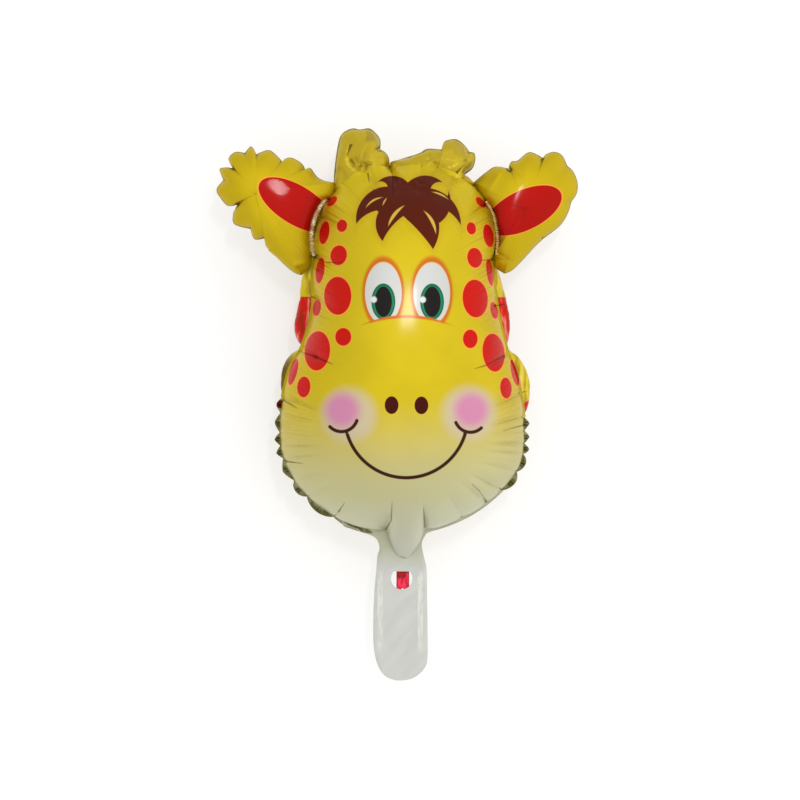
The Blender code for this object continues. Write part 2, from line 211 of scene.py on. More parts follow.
def folds(grid, lines):
    """How deep the single creases are at each point. A line, in millimetres on the artwork, runs
    from its deep end to its faint one."""
    flat = as_printed(grid)
    depth = np.zeros(grid.shape[:2])
    for line in lines:
        x1, y1, x2, y2, deep, half = (value / 1000 for value in line)
        start = np.array((x1, y1))
        run = np.array((x2, y2)) - start
        way = (flat - start) @ run / (run @ run)
        t = np.clip(way, 0, 1)
        away = np.linalg.norm(flat - start - t[..., None] * run, axis=-1) / half
        depth += deep * (1 - 0.8 * t) * (0.5 * np.exp(-away) + 0.5 * np.exp(-((away / 2) ** 2)))
    return depth


def crumples(flat, folded):
    """From 0 to 1: a few bent grooves that cross each other, as in foil that is half crumpled."""
    depth = np.zeros(flat.shape[:-1])
    for _ in range(folded):
        angle, length, shift, bend = rng.uniform(*CRUMPLE_RANGES)
        ahead = flat[..., 0] * math.cos(angle) + flat[..., 1] * math.sin(angle)
        beside = flat[..., 1] * math.cos(angle) - flat[..., 0] * math.sin(angle)
        snake = BEND_DEPTH * np.sin(2 * math.pi * beside / BEND_LENGTH + bend)
        way = math.pi * ahead / length + shift + snake
        depth += (1 - np.abs(np.sin(way))) ** 2 / folded
    return depth


def press_in(grid, depth):
    """Moves a grid of rings and columns inwards along its own normals."""
    round_way = np.roll(grid, -1, 1) - np.roll(grid, 1, 1)
    out_way = np.gradient(grid, axis=0)
    normal = np.cross(round_way, out_way)
    normal /= np.maximum(np.linalg.norm(normal, axis=2), 1e-12)[..., None]
    middle = grid[0].mean(0)
    outwards = np.sign(((grid - middle) * normal).sum())
    return grid - outwards * normal * depth[..., None]


def sheet(
        weld, middle, soft, depth_at, shares, rises, side, lobe, waist=0.0, flat_at=math.inf,
        reach=LOBE_REACH):
    """One blown-up sheet as rings of points, from the middle to the weld. It is as deep as depth_at
    gives at each height on the face, and its waist stands out past the weld."""
    share, rise = shares[:, None], rises[:, None]
    hold = (share**SHAPE_HOLD)[..., None]
    flat = middle + share[..., None] * ((1 - hold) * (soft - middle) + hold * (weld - middle))
    near = np.clip(1 - (1 - share) / reach, 0, 1) ** 2
    full = depth_at(flat[..., 1]) * rise * (1 - LOBE_DEPTH * near * (1 - lobe))
    power = 1 / WAIST_PEAK - 1
    bulge = rise * (1 - rise) ** power / (WAIST_PEAK * (1 - WAIST_PEAK) ** power)
    flat = flat + outward(weld) * (waist * bulge)[..., None]
    height = side * (SHEET_THICKNESS / 2 + np.minimum(full, flat_at))
    return np.concatenate((flat, height[..., None]), 2)


def put_in_scene(name, data):
    """A new object of a mesh, a light or a camera."""
    thing = bpy.data.objects.new(name, data)
    bpy.context.scene.collection.objects.link(thing)
    return thing


def close_up(name, sheets, lines, rim, seam, numbers):
    """A closed mesh over the rings of a front and a back sheet and of the rim between them, with its
    print and seam maps. The numbers are those of the materials of the front, of the three bands at
    the rim and of the back. The attribute line holds how far each point is from the nearest sharp
    pleat, in millimetres."""
    front, back = sheets
    layers = [*front, *rim, *back[::-1]]
    count = len(layers[0])
    points = np.vstack(layers)
    along, whole = seam
    j = np.arange(count)
    k = (j + 1) % count
    quads = []
    for row in range(len(layers) - 1):
        low, high = row * count, (row + 1) * count
        quads.append(np.column_stack((low + j, low + k, high + k, high + j)))
    quads = np.vstack(quads)
    ends = [list(range(count))[::-1], list(range(len(points) - count, len(points)))]
    mesh = bpy.data.meshes.new(name)
    mesh.from_pydata((points + FACE).tolist(), [], quads.tolist() + ends)
    corners = np.concatenate((quads.ravel(), *ends))
    place = as_printed(points)
    mesh.uv_layers.new(name="print").uv.foreach_set("vector", place[corners].astype(np.float32).ravel())
    # The map along the seam: the last column's far corners are a whole turn on, not back at 0
    way = np.tile(along, len(layers))[corners]
    turned = np.zeros(len(quads), bool)
    turned[count - 1::count] = True
    corner = np.arange(len(quads) * 4).reshape(-1, 4)
    way[corner[turned][:, 1:3].ravel()] = whole
    seam_ring = layers[np.argmin([abs(layer[:, 2]).mean() for layer in layers])]
    inward = np.concatenate([np.linalg.norm(layer - seam_ring, axis=1) for layer in layers])[corners]
    mesh.uv_layers.new(name="seam").uv.foreach_set(
        "vector", np.column_stack((way, inward)).astype(np.float32).ravel())
    first, *rim_numbers, last = numbers
    bands = [first] * (len(front) - 1) + rim_numbers + [last] * (len(back) - 1)
    index = np.concatenate([np.broadcast_to(number, count) for number in bands] + [(first, last)])
    mesh.polygons.foreach_set("material_index", index.astype(np.int32))
    line = mesh.attributes.new("line", "FLOAT", "POINT")
    rim_line = [np.full(count, FAR_FROM_PLEATS)] * len(rim)
    line.data.foreach_set(
        "value", np.concatenate((*lines[0], *rim_line, *lines[1][::-1])).astype(np.float32))
    shape = bmesh.new()
    shape.from_mesh(mesh)
    bmesh.ops.triangulate(shape, faces=[f for f in shape.faces if len(f.verts) > 4])
    bmesh.ops.recalc_face_normals(shape, faces=shape.faces)
    shape.to_mesh(mesh)
    shape.free()
    mesh.shade_smooth()
    return put_in_scene(name, mesh)


# The camera and the place from which the artwork was laid out are the same: 2 m from the seam's
# plane and 3 degrees to the left, looking at a point a little below the face's middle.
CAMERA_DISTANCE = 2.0
CAMERA_YAW = math.radians(3.0)
PHOTO_SIZE = 800
PHOTO_MIDDLE = (400, 400)
PHOTO_FACE = (404, 380)  # the face's middle in the photograph
PHOTO_SCALE = HEAD_HEIGHT / 402  # the head is 402 pixels high there
LOOK_AT = np.array((PHOTO_MIDDLE[0] - PHOTO_FACE[0], PHOTO_FACE[1] - PHOTO_MIDDLE[1], 0)) * PHOTO_SCALE
EYE = LOOK_AT + CAMERA_DISTANCE * np.array((-math.sin(CAMERA_YAW), 0, math.cos(CAMERA_YAW)))

TONGUE_X, TONGUE_HALF, TONGUE_LENGTH = 0.0004, 0.0172, 0.0238  # the soft lip below the chin
TONGUE_REACH = 0.028
TONGUE_FLATNESS = (0.75, 0.85)  # how much of the height it takes away, in front and behind
TONGUE_MARGIN = 0.25  # share of the margin that is left on it
HEAD_SPACING = 0.00155  # between columns at the seam
HEAD_RINGS = (104, 44)  # of the front and of the back
places, phase, lobe_number = [], [], []
for number, (start, end) in enumerate(zip(GATHERS, GATHERS[1:] + (GATHERS[0] + len(HEAD_OUTLINE),))):
    run = smooth_loop(HEAD_OUTLINE, np.linspace(start, end, 9)) * HEAD_HEIGHT
    steps = max(8, round(np.linalg.norm(np.diff(run, axis=0), axis=1).sum() / HEAD_SPACING))
    places.append(start + (end - start) * spaced(steps))
    phase.append(spaced(steps))
    lobe_number.append(np.full(steps, number))
places, phase, lobe_number = (np.concatenate(part) for part in (places, phase, lobe_number))
lobe = np.sin(math.pi * phase) ** 0.75

seam_line = smooth_loop(HEAD_OUTLINE, places) * HEAD_HEIGHT
pointed = 1 - np.abs(2 * phase - 1) ** 1.2
broad = within(places, MUZZLE) * np.where(within(places, ROUND_LOBES), lobe, pointed)
toothed = within(places, MUZZLE) > 0
margin = NARROW_MARGIN * np.where(toothed, TOOTH_GAP, 1.0)
margin = margin + (MUZZLE_MARGIN - margin) * broad * np.where(within(places, SHORT_LOBE), SHORT_SHARE, 1)
off = (seam_line[:, 0] - TONGUE_X) / TONGUE_HALF
tongue = np.clip(1 - off**2, 0, 1) ** 0.95 * (seam_line[:, 1] < -0.1)
margin = margin * np.where(tongue > 0, TONGUE_MARGIN, 1)
drawn_seam = seam_line - np.column_stack((np.zeros(len(tongue)), TONGUE_LENGTH * tongue))
edge = drawn_seam + outward(drawn_seam) * margin[:, None]
soft_line = sum(
    weight * smooth_loop(HEAD_OUTLINE, places + shift) * HEAD_HEIGHT
    for shift, weight in zip(SOFT_SHIFTS, SOFT_WEIGHTS)
)
climb = smooth_step(seam_line[:, 1], RIDGE_FALL[0] * HEAD_HEIGHT, RIDGE_FALL[1] * HEAD_HEIGHT)
ridge_y = (RIDGE[0] + (RIDGE[1] - RIDGE[0]) * climb) * HEAD_HEIGHT
ridge = np.column_stack((np.zeros(len(places)), ridge_y))


def front_depth(y):
    """Depth of the front over the ridge, which is bowed from the chin to the brow."""
    return HEAD_DEPTH - (y - RIDGE_TOP) ** 2 / (2 * RIDGE_RADIUS)


shares, rises = membrane_profile(HEAD_RINGS[0])
puffed = np.where(toothed, 0.4 + 0.6 * lobe, lobe)
front = sheet(seam_line, ridge, soft_line, front_depth, shares, rises, 1, puffed)
back_shares, back_rises = membrane_profile(HEAD_RINGS[1])
waist = sum(
    bulge * np.sin(math.pi * np.interp(places, (start, full, end), (0, 0.5, 1))) ** 0.55
    for start, end, full, bulge in WAIST
)
back = sheet(
    seam_line, ridge, soft_line, lambda y: HEAD_DEPTH, back_shares, back_rises, -1, lobe, waist,
    BACK_FLAT,
)

# Main pleats at the gathers and short fine ones between them
along, whole = seam_length(seam_line)
gather_at = np.interp(GATHERS, places, along)
gather_far, gather = nearest_mark(along, whole, gather_at)
tight = np.where(toothed, TOOTHED_PLEATS, 1.0)
gather_deep = rng.uniform(*GATHER_DEPTHS, len(GATHERS))[gather] * tight
gather_reach = rng.uniform(*GATHER_REACHES, len(GATHERS))[gather]
gather_sharp = rng.uniform(-0.9, 0.9, len(GATHERS))[gather]
fine_at = np.sort(rng.uniform(0, whole, FINE_PLEATS))
fine_far, fine = nearest_mark(along, whole, fine_at)
fine_deep = rng.uniform(*FINE_DEPTHS, FINE_PLEATS)[fine] * tight
fine_reach = rng.uniform(*FINE_REACHES, FINE_PLEATS)[fine]

# Single creases of the face, in millimetres from its middle: both ends, depth and half width
FACE_CREASES = (
    (-80.1, 108.0, -67.9, 102.3, 1.6, 1.6), (-67.9, 102.3, -53.1, 101.9, 0.6, 1.5),
    (-80.5, 72.4, -72.6, 69.8, 1.0, 0.9), (-77.0, 20.3, -92.0, 25.3, 1.6, 1.2),
    (-77.0, 20.3, -62.0, 13.6, 1.6, 1.2), (-105.5, -17.0, -92.0, -25.0, 1.6, 0.8),
    (-104.0, -70.5, -88.0, -72.6, 1.5, 0.8), (-56.9, -114.5, -51.6, -106.6, 1.0, 1.5),
    (-15.8, -130.1, -11.1, -122.5, 1.8, 1.5), (-11.1, -122.5, -10.4, -106.4, 0.7, 1.5),
    (79.7, 105.3, 67.0, 104.5, 1.4, 1.4), (83.6, 65.3, 76.9, 64.6, 1.2, 1.1),
    (87.7, 21.2, 71.3, 12.7, 1.6, 1.5), (71.3, 12.7, 62.0, 10.0, 0.6, 0.6),
    (106.2, -38.7, 86.4, -44.4, 1.2, 0.9), (72.0, -106.0, 65.9, -97.0, 0.9, 0.8),
    (65.9, -97.0, 59.5, -90.8, 0.5, 0.35), (18.2, -128.3, 17.0, -112.0, 1.2, 0.9),
    (-12.6, 186.3, -9.7, 177.3, 1.6, 1.6), (-9.7, 177.3, -9.6, 161.1, 0.6, 1.5),
    (-31.7, 178.5, -30.1, 171.5, 1.2, 1.5), (14.4, 188.4, 14.4, 184.4, 1.2, 1.5),
    (-67.0, 157.6, -56.6, 167.4, 1.6, 1.8), (50.0, 175.5, 62.0, 171.0, 1.2, 1.0),
    (62.5, 171.5, 68.5, 163.0, 1.4, 1.2), (-2.4, -154.0, 1.6, -155.4, 0.6, 0.9),
)


def head_relief(grid, shares, creases):
    """Presses the pleats and the single creases into one sheet of the head, and crumples the brow
    of a sheet that has creases."""
    kinds = (
        (gather_far, gather_deep, gather_reach, PLEAT_SPREADS[0]),
        (fine_far, fine_deep, fine_reach, PLEAT_SPREADS[1]))
    depth, line = gathered(grid, shares, PLEAT_STARTS[0], kinds, gather_sharp, 0.6)
    if creases:
        brow = smooth_step(grid[..., 1], *BROW_HEIGHTS) * smooth_step(shares[:, None], *BROW_SHARES)
        depth += folds(grid, creases) + BROW_CRUMPLES * brow * crumples(grid, BROW_FOLDS)
    return press_in(grid, depth), line


front, front_line = head_relief(front, shares, FACE_CREASES)
back, back_line = head_relief(back, back_shares, ())
# Between its two creases the chin runs out smoothly as a small tongue over the neck
for grid, flatness in zip((front, back), TONGUE_FLATNESS):
    near_seam = np.exp(-(np.linalg.norm(grid - grid[-1], axis=2) / TONGUE_REACH) ** 2)
    grid[:, :, 1] -= TONGUE_LENGTH * tongue * near_seam
    grid[:, :, 2] *= 1 - flatness * near_seam * tongue
back[:, :, 2] = np.maximum(back[:, :, 2], -(SHEET_THICKNESS / 2 + BACK_FLAT))

# The margin stands out past the seam, bent a little up and down from lobe to lobe
lift = MARGIN_WAVE * broad * (np.sin(2 * math.pi * phase) + np.where(lobe_number % 2, 0.5, -0.5))
rim = [np.column_stack((edge, side * SHEET_THICKNESS / 2 + lift)) for side in (1, -1)]
front_number, back_number = np.where(toothed, 2, 0), np.where(toothed, 2, 1)
head = close_up(
    "head", (front, back), (front_line, back_line), rim, (along, whole),
    (0, front_number, back_number, back_number, 1))


# Printed foil: polyester film metallised on one side and printed on the other. The ink is thin, so
# the metal shows through it as a soft satin gloss.
def linear(code):
    """A hex colour as Blender's linear values."""
    channels = [int(code[i:i + 2], 16) / 255 for i in (0, 2, 4)]
    return (*(c / 12.92 if c <= 0.04045 else ((c + 0.055) / 1.055) ** 2.4 for c in channels), 1)


def fill(tree, node, inputs):
    """Sets a node's inputs, each to a plain value or to another node's output."""
    for socket, value in inputs.items():
        if isinstance(value, bpy.types.NodeSocket):
            tree.links.new(value, node.inputs[socket])
        else:
            node.inputs[socket].default_value = value


def add(tree, kind, inputs, out=0, **settings):
    """Adds a node with its settings and gives one of its outputs, or with out=None the node. A kind
    that doesn't say what nodes it belongs to is a shader node."""
    node = tree.nodes.new(kind if "Node" in kind else "ShaderNode" + kind)
    for setting, value in settings.items():
        setattr(node, setting, value)
    fill(tree, node, inputs)
    return node if out is None else node.outputs[out]


def start_material(name):
    """A new material with its node tree and its shader."""
    material = bpy.data.materials.new(name)
    material.use_nodes = True
    return material, material.node_tree, material.node_tree.nodes["Principled BSDF"]


def millimetres(tree):
    """Places on the printed artwork, in millimetres from the face's middle, and how far they are to
    the right and up."""
    flat = add(tree, "UVMap", {}, uv_map="print")
    place = add(tree, "VectorMath", {0: flat, 3: 1000.0}, operation="SCALE")
    split = add(tree, "SeparateXYZ", {0: place}, None)
    return place, split.outputs[0], split.outputs[1]


def disc(tree, place, x, y, radius):
    """Distance from the edge of a printed disc, in millimetres, below 0 inside it."""
    far = add(tree, "VectorMath", {0: place, 1: (x, y, 0)}, operation="DISTANCE", out="Value")
    return add(tree, "Math", {0: far, 1: radius}, operation="SUBTRACT")


def oval(tree, place, x, y, wide, high, tilt=0.0):
    """About the distance from the edge of a printed oval, from its half width and half height."""
    turn = {0: place, 1: (x, y, 0), 2: (0, 0, math.radians(tilt)), 3: (wide, high, 1)}
    own = add(tree, "Mapping", turn, vector_type="TEXTURE")
    share = add(tree, "VectorMath", {0: own}, operation="LENGTH", out="Value")
    size = math.sqrt(wide * high)
    return add(tree, "Math", {0: share, 1: size, 2: -size}, operation="MULTIPLY_ADD")


def join(tree, distances, rule="MINIMUM"):
    """All the given shapes as one, or with MAXIMUM what they have in common."""
    whole_shape = distances[0]
    for distance in distances[1:]:
        whole_shape = add(tree, "Math", {0: whole_shape, 1: distance}, operation=rule)
    return whole_shape


def outside_of(tree, distance):
    """All that lies outside a shape, as a shape."""
    return add(tree, "Math", {0: distance, 1: -1.0}, operation="MULTIPLY")


def band(tree, value, middle, half):
    """How far a value is outside a range that reaches as far up as down from its middle."""
    off = add(tree, "Math", {0: value, 1: middle}, operation="SUBTRACT")
    off = add(tree, "Math", {0: off}, operation="ABSOLUTE")
    return add(tree, "Math", {0: off, 1: half}, operation="SUBTRACT")


def inside(tree, distance, soft=0.5, shift=0.0, strength=1.0):
    """1 inside a shape and 0 outside, blurred over a few tenths of a millimetre at its edge."""
    ramp = {0: distance, 1: -1 / soft, 2: 0.5 + shift / soft}
    amount = add(tree, "Math", ramp, operation="MULTIPLY_ADD", use_clamp=True)
    if strength == 1.0:
        return amount
    return add(tree, "Math", {0: amount, 1: strength}, operation="MULTIPLY")


def ink(tree, under, amount, colour):
    """Lays a colour over what is printed already."""
    colours = {0: amount, 6: under, 7: linear(colour) if isinstance(colour, str) else colour}
    return add(tree, "Mix", colours, data_type="RGBA", out=2)


def stamp(tree, under, distance, colour, soft=0.5, shift=0.0, strength=1.0):
    """Prints a shape in one colour."""
    return ink(tree, under, inside(tree, distance, soft, shift, strength), colour)


def clouds(tree, place, detail, scale=1.0, stretch=None, between=None, give=(0.0, 1.0), **settings):
    """A soft random pattern, as it is or spread over what it has to give. The scale is how many
    patches there are to a unit of the place, the stretch holds what a mapping node is told, and
    between are the pattern's values where it starts and ends."""
    if stretch:
        place = add(tree, "Mapping", {0: place, **stretch}, **settings)
    pattern = add(tree, "TexNoise", {0: place, 2: scale, 3: detail})
    if between:
        limits = {0: pattern, 1: between[0], 2: between[1], 3: give[0], 4: give[1]}
        pattern = add(tree, "MapRange", limits)
    return pattern


def arc_circle(first, second, third):
    """Middle and radius of the circle through three points."""
    (ax, ay), (bx, by), (cx, cy) = first, second, third
    d = 2 * (ax * (by - cy) + bx * (cy - ay) + cx * (ay - by))
    a, b, c = ax**2 + ay**2, bx**2 + by**2, cx**2 + cy**2
    x = (a * (by - cy) + b * (cy - ay) + c * (ay - by)) / d
    y = (a * (cx - bx) + b * (ax - cx) + c * (bx - ax)) / d
    return x, y, math.hypot(x - ax, y - ay)


YELLOW = "CCB61A"
DEEP_YELLOW = "C2A90E"  # the ears and horns, which lie a little lower and take less light
CREAM = "BFBD96"
RED = "C61508"
SPOT_LINE = "EDA03A"
SPOTS = (  # x, y, half width, half height and tilt
    (-69.3, 128.0, 4.2, 10.0, -10), (-54.0, 134.1, 4.4, 5.4, -10), (-56.9, 108.4, 7.1, 8.7, -12),
    (-57.7, 73.2, 11.8, 16.5, 0), (-73.0, 95.2, 3.7, 11.2, -8), (-75.8, 62.7, 3.5, 7.1, -8),
    (-75.4, 25.3, 11.0, 17.1, -5), (-52.9, 37.5, 6.9, 7.7, 0), (-96.3, 7.0, 3.3, 11.7, -15),
    (-87.2, -6.1, 5.7, 9.0, -4), (-62.7, 155.4, 5.5, 3.0, 45),
    (58.8, 132.3, 4.0, 5.4, 10), (73.8, 125.9, 4.4, 10.0, 10), (61.8, 106.6, 6.5, 8.7, 8),
    (62.2, 71.1, 11.0, 16.5, 4), (75.1, 94.0, 2.9, 11.7, 8), (78.7, 60.7, 3.1, 7.5, 12),
    (57.9, 35.9, 6.4, 8.1, 0), (78.3, 23.9, 9.6, 16.6, 6), (96.8, 6.5, 2.9, 11.7, 13),
    (89.1, -7.0, 5.0, 9.1, 4), (66.8, 155.0, 5.5, 2.8, -50),
)
EAR_REDS = ((-93.5, 151.9, 37.2, 16.8, -31.4), (104.7, 148.1, 36.1, 17.3, 25.6))
# Locks of the forelock: three points on the outer edge, three on the inner edge, and the side of
# the face's middle line that the lock keeps to, or 0
LOCKS = (
    ((3.3, 171.9), (-11.1, 177.6), (-23.2, 171.9), (-23.2, 171.9), (-17.2, 171.9), (-14.2, 168.4), 0),
    ((-14.2, 168.4), (-33.2, 160.4), (-41.6, 143.4), (-41.4, 135.9), (-32.6, 144.0), (-21.2, 147.9), -1),
    ((-21.2, 147.9), (-24.7, 135.8), (-18.6, 120.9), (-18.6, 120.9), (-13.9, 129.3), (0.3, 143.4), 0),
    ((25.3, 151.9), (30.8, 132.9), (25.3, 114.0), (0.3, 141.9), (13.9, 128.5), (25.3, 114.0), 0),
    ((23.3, 166.9), (39.6, 158.9), (49.6, 134.9), (49.6, 134.9), (39.6, 146.3), (25.3, 151.9), 1),
    ((3.3, 171.9), (17.4, 177.8), (33.6, 171.9), (33.6, 171.9), (23.5, 167.6), (37.8, 160.4), 0),
)
# Pale slits between hairs: both ends, and how far the two edges of the slit bulge to the left
SLITS = (
    (-33.2, 149.9, -18.6, 158.9, 2.8, 1.2), (-18.6, 151.9, -15.1, 158.4, 0.9, -0.3),
    (-13.7, 133.9, 0.3, 151.9, 3.4, 0.6), (27.8, 127.4, 17.3, 147.4, -3.6, -0.9),
    (38.8, 157.4, 24.3, 163.9, -1.9, -0.4),
)
HAIR = "5A1A06"
EYES = ((-18.0, -18.0, -26.4), (24.2, 24.5, 16.4))  # x of each white, iris and glint
EYE_OVALS = (  # which x, y, half width and half height, then each ink's blur, growth and colour
    (0, 75.7, 18.0, 31.2, ((3.0, 0.6, "C46C1C"),)),  # the orange rim
    (0, 75.7, 15.6, 26.3, ((0.5, 0.7, "D8B88A"), (0.5, 0.0, "C6C7C3"))),  # the white in a pale line
    (1, 68.2, 10.4, 15.8, ((0.5, 0.0, "0C5A3A"), (1.2, -1.3, "1F7F58"))),  # the iris
    (1, 68.2, 7.5, 13.3, ((0.5, 0.0, "1C1A19"),)),  # the pupil
)
GLINT = (70.0, 2.7)
LID = (2.4, -50.8, 106.1)
LID_HALF_LENGTH = 45.0
LID_HALF_WIDTH = 1.3
LID_TAPER = 1.6
LID_LOWEST = 20.0
NOSTRILS = ((-10.8, -21.9), (15.2, -22.1))
NOSTRIL_OVAL = (6.0, 7.7)
SMILE = (2.0, -31.4, 53.7)
SMILE_ENDS = ((-49.9, -45.5), (53.1, -46.5))
DIMPLES = (  # three points on each
    ((-64.5, -40.6), (-54.6, -44.9), (-41.1, -35.3)),
    ((45.4, -37.1), (56.9, -45.5), (67.5, -41.8)),
)
LINE_HALF_WIDTH = 1.5
CHEEKS = (  # a pale halo, then the pink: both middles, where it starts and is full, strength, colour
    (((-48.0, -30.9), (56.9, -29.1)), 30.0, 16.0, 0.8, "C6B8A2"),
    (((-53.6, -26.1), (58.9, -26.1)), 21.0, 8.0, 0.95, "CC84A8"),
)
FADE = (-8.0, -122.0)  # heights between which the yellow turns to cream
FADE_BOW = (26.0, -0.0011)  # the fade is bowed down to both sides of a line this far to the left
CHIN_FADE = (-105.0, -145.0)


def bowed(x1, y1, x2, y2, bulge):
    """Middle and radius of the arc between two points that bulges to the left of the way there."""
    length = math.hypot(x2 - x1, y2 - y1)
    middle_point = (
        (x1 + x2) / 2 - (y2 - y1) / length * bulge,
        (y1 + y2) / 2 + (x2 - x1) / length * bulge,
    )
    return arc_circle((x1, y1), middle_point, (x2, y2))


def stroke(tree, place, circle, half, ends, toward):
    """A printed arc with round ends, on the side of its chord that a direction points to."""
    ring = band(tree, disc(tree, place, *circle), 0.0, half)
    reach = add(tree, "VectorMath", {0: place, 1: (*toward, 0)}, operation="DOT_PRODUCT", out="Value")
    limit = max(end[0] * toward[0] + end[1] * toward[1] for end in ends)
    chord = add(tree, "Math", {0: limit, 1: reach}, operation="SUBTRACT")
    round_ends = [disc(tree, place, *end, half) for end in ends]
    return join(tree, [join(tree, [ring, chord], "MAXIMUM")] + round_ends)


def forelock(tree, place, beside):
    """Distances from the edges of the hair and of the pale slits in it."""
    locks = []
    for *edges, kept in LOCKS:
        outer, inner = arc_circle(*edges[:3]), arc_circle(*edges[3:])
        lock = [disc(tree, place, *outer), outside_of(tree, disc(tree, place, *inner))]
        if kept:
            lock.append(add(tree, "Math", {0: beside, 1: -kept}, operation="MULTIPLY"))
        locks.append(join(tree, lock, "MAXIMUM"))
    slits = []
    for x1, y1, x2, y2, outer, inner in SLITS:
        wide = disc(tree, place, *bowed(x1, y1, x2, y2, outer))
        narrow = disc(tree, place, *bowed(x1, y1, x2, y2, inner))
        if outer * inner < 0:
            slits.append(join(tree, [wide, narrow], "MAXIMUM"))
        else:
            slits.append(join(tree, [wide, outside_of(tree, narrow)], "MAXIMUM"))
    return join(tree, locks), join(tree, slits)


def face_print(tree, place, beside, up, colour):
    """Prints the face over the yellow."""
    aside = add(tree, "Math", {0: beside, 1: FADE_BOW[0]}, operation="ADD")
    square = add(tree, "Math", {0: aside, 1: 2.0}, operation="POWER")
    bow = {0: square, 1: FADE_BOW[1], 2: up}
    level = add(tree, "Math", bow, operation="MULTIPLY_ADD")
    fading = {0: level, 1: FADE[0], 2: FADE[1]}
    fade = add(tree, "MapRange", fading, interpolation_type="SMOOTHSTEP")
    colour = ink(tree, colour, fade, CREAM)
    low = add(tree, "MapRange", {0: level, 1: CHIN_FADE[0], 2: CHIN_FADE[1], 4: 0.8})
    colour = ink(tree, colour, low, "C3C5B8")
    for middles, far, near, strength, code in CHEEKS:
        away = join(tree, [disc(tree, place, *middle, 0) for middle in middles])
        soft = {0: away, 1: far, 2: near, 4: strength}
        blush = add(tree, "MapRange", soft, interpolation_type="SMOOTHSTEP")
        colour = ink(tree, colour, blush, code)
    lid = disc(tree, place, *LID)
    above = outside_of(tree, lid)
    for eye in EYES:
        for which, middle_y, wide, high, layers in EYE_OVALS:
            part = join(tree, [oval(tree, place, eye[which], middle_y, wide, high), above], "MAXIMUM")
            for soft, grown, code in layers:
                colour = stamp(tree, colour, part, code, soft, grown)
        colour = stamp(tree, colour, disc(tree, place, eye[2], *GLINT), "D2D4D4", 1.2)
    off = add(tree, "Math", {0: beside, 1: LID[0]}, operation="SUBTRACT")
    off = add(tree, "Math", {0: off, 1: LID_HALF_LENGTH}, operation="DIVIDE")
    taper = add(tree, "Math", {0: off, 1: 2.0}, operation="POWER")
    line = add(tree, "Math", {0: lid}, operation="ABSOLUTE")
    line = add(tree, "Math", {0: taper, 1: LID_TAPER, 2: line}, operation="MULTIPLY_ADD")
    line = add(tree, "Math", {0: line, 1: LID_HALF_WIDTH}, operation="SUBTRACT")
    upper = add(tree, "Math", {0: LID_LOWEST, 1: up}, operation="SUBTRACT")
    colour = stamp(tree, colour, join(tree, [line, upper], "MAXIMUM"), "C86A1E", 0.8)
    nostrils = join(tree, [oval(tree, place, *nostril, *NOSTRIL_OVAL) for nostril in NOSTRILS])
    strokes = [stroke(tree, place, SMILE, LINE_HALF_WIDTH, SMILE_ENDS, (0, -1))]
    for dimple in DIMPLES:
        run = (dimple[2][0] - dimple[0][0], dimple[2][1] - dimple[0][1])
        length = math.hypot(*run)
        below = (run[1] / length, -run[0] / length)
        ends = (dimple[0], dimple[2])
        strokes.append(stroke(tree, place, arc_circle(*dimple), LINE_HALF_WIDTH, ends, below))
    colour = stamp(tree, colour, join(tree, strokes), "3A180A", 0.7)
    colour = stamp(tree, colour, nostrils, "430C05")
    hair, slits = forelock(tree, place, beside)
    colour = stamp(tree, colour, hair, "B9801C", 7.0, 2.0, 0.35)
    colour = stamp(tree, colour, hair, HAIR)
    return stamp(tree, colour, slits, "D8B84A", 0.6, 0.0, 0.9)


def crease(tree, place, x1, y1, x2, y2, half):
    """Distance from the edge of a crease that is widest at its first end and runs out at its second."""
    length = math.hypot(x2 - x1, y2 - y1)
    way = ((x2 - x1) / length, (y2 - y1) / length, 0)
    from_start = add(tree, "VectorMath", {0: place, 1: (x1, y1, 0)}, operation="SUBTRACT")
    gone = add(tree, "VectorMath", {0: from_start, 1: way}, operation="DOT_PRODUCT", out="Value")
    gone = add(tree, "Clamp", {0: gone, 1: 0.0, 2: length})
    foot = add(tree, "VectorMath", {0: way, 3: gone}, operation="SCALE")
    away = add(tree, "VectorMath", {0: from_start, 1: foot}, operation="DISTANCE", out="Value")
    away = add(tree, "Math", {0: away, 1: half}, operation="SUBTRACT")
    return add(tree, "Math", {0: gone, 1: half / length, 2: away}, operation="MULTIPLY_ADD")


# Fine lines of strain run in from the seam, about 3 mm apart. They start and end this far in, and
# fade out towards the chin and the brow.
STRAIN_REACH = ((0.004, 0.020), (0.075, 0.030))
STRAIN_HEIGHTS = ((-80.0, -30.0), (165.0, 140.0))
STRAIN_DEPTH = 0.0026
STRAIN_LINES = (330.0, 11.0, 1.0)  # to the metre along the seam, and inwards
FACET_WIDTH = 15.385  # of the small flat facets in crumpled foil, in millimetres
FACET_BEND = (14.0, 14.0, 0.0)  # how far their edges are bent, in millimetres
CREASE_SHADE = 0.62
CREASE_CUT = 0.35


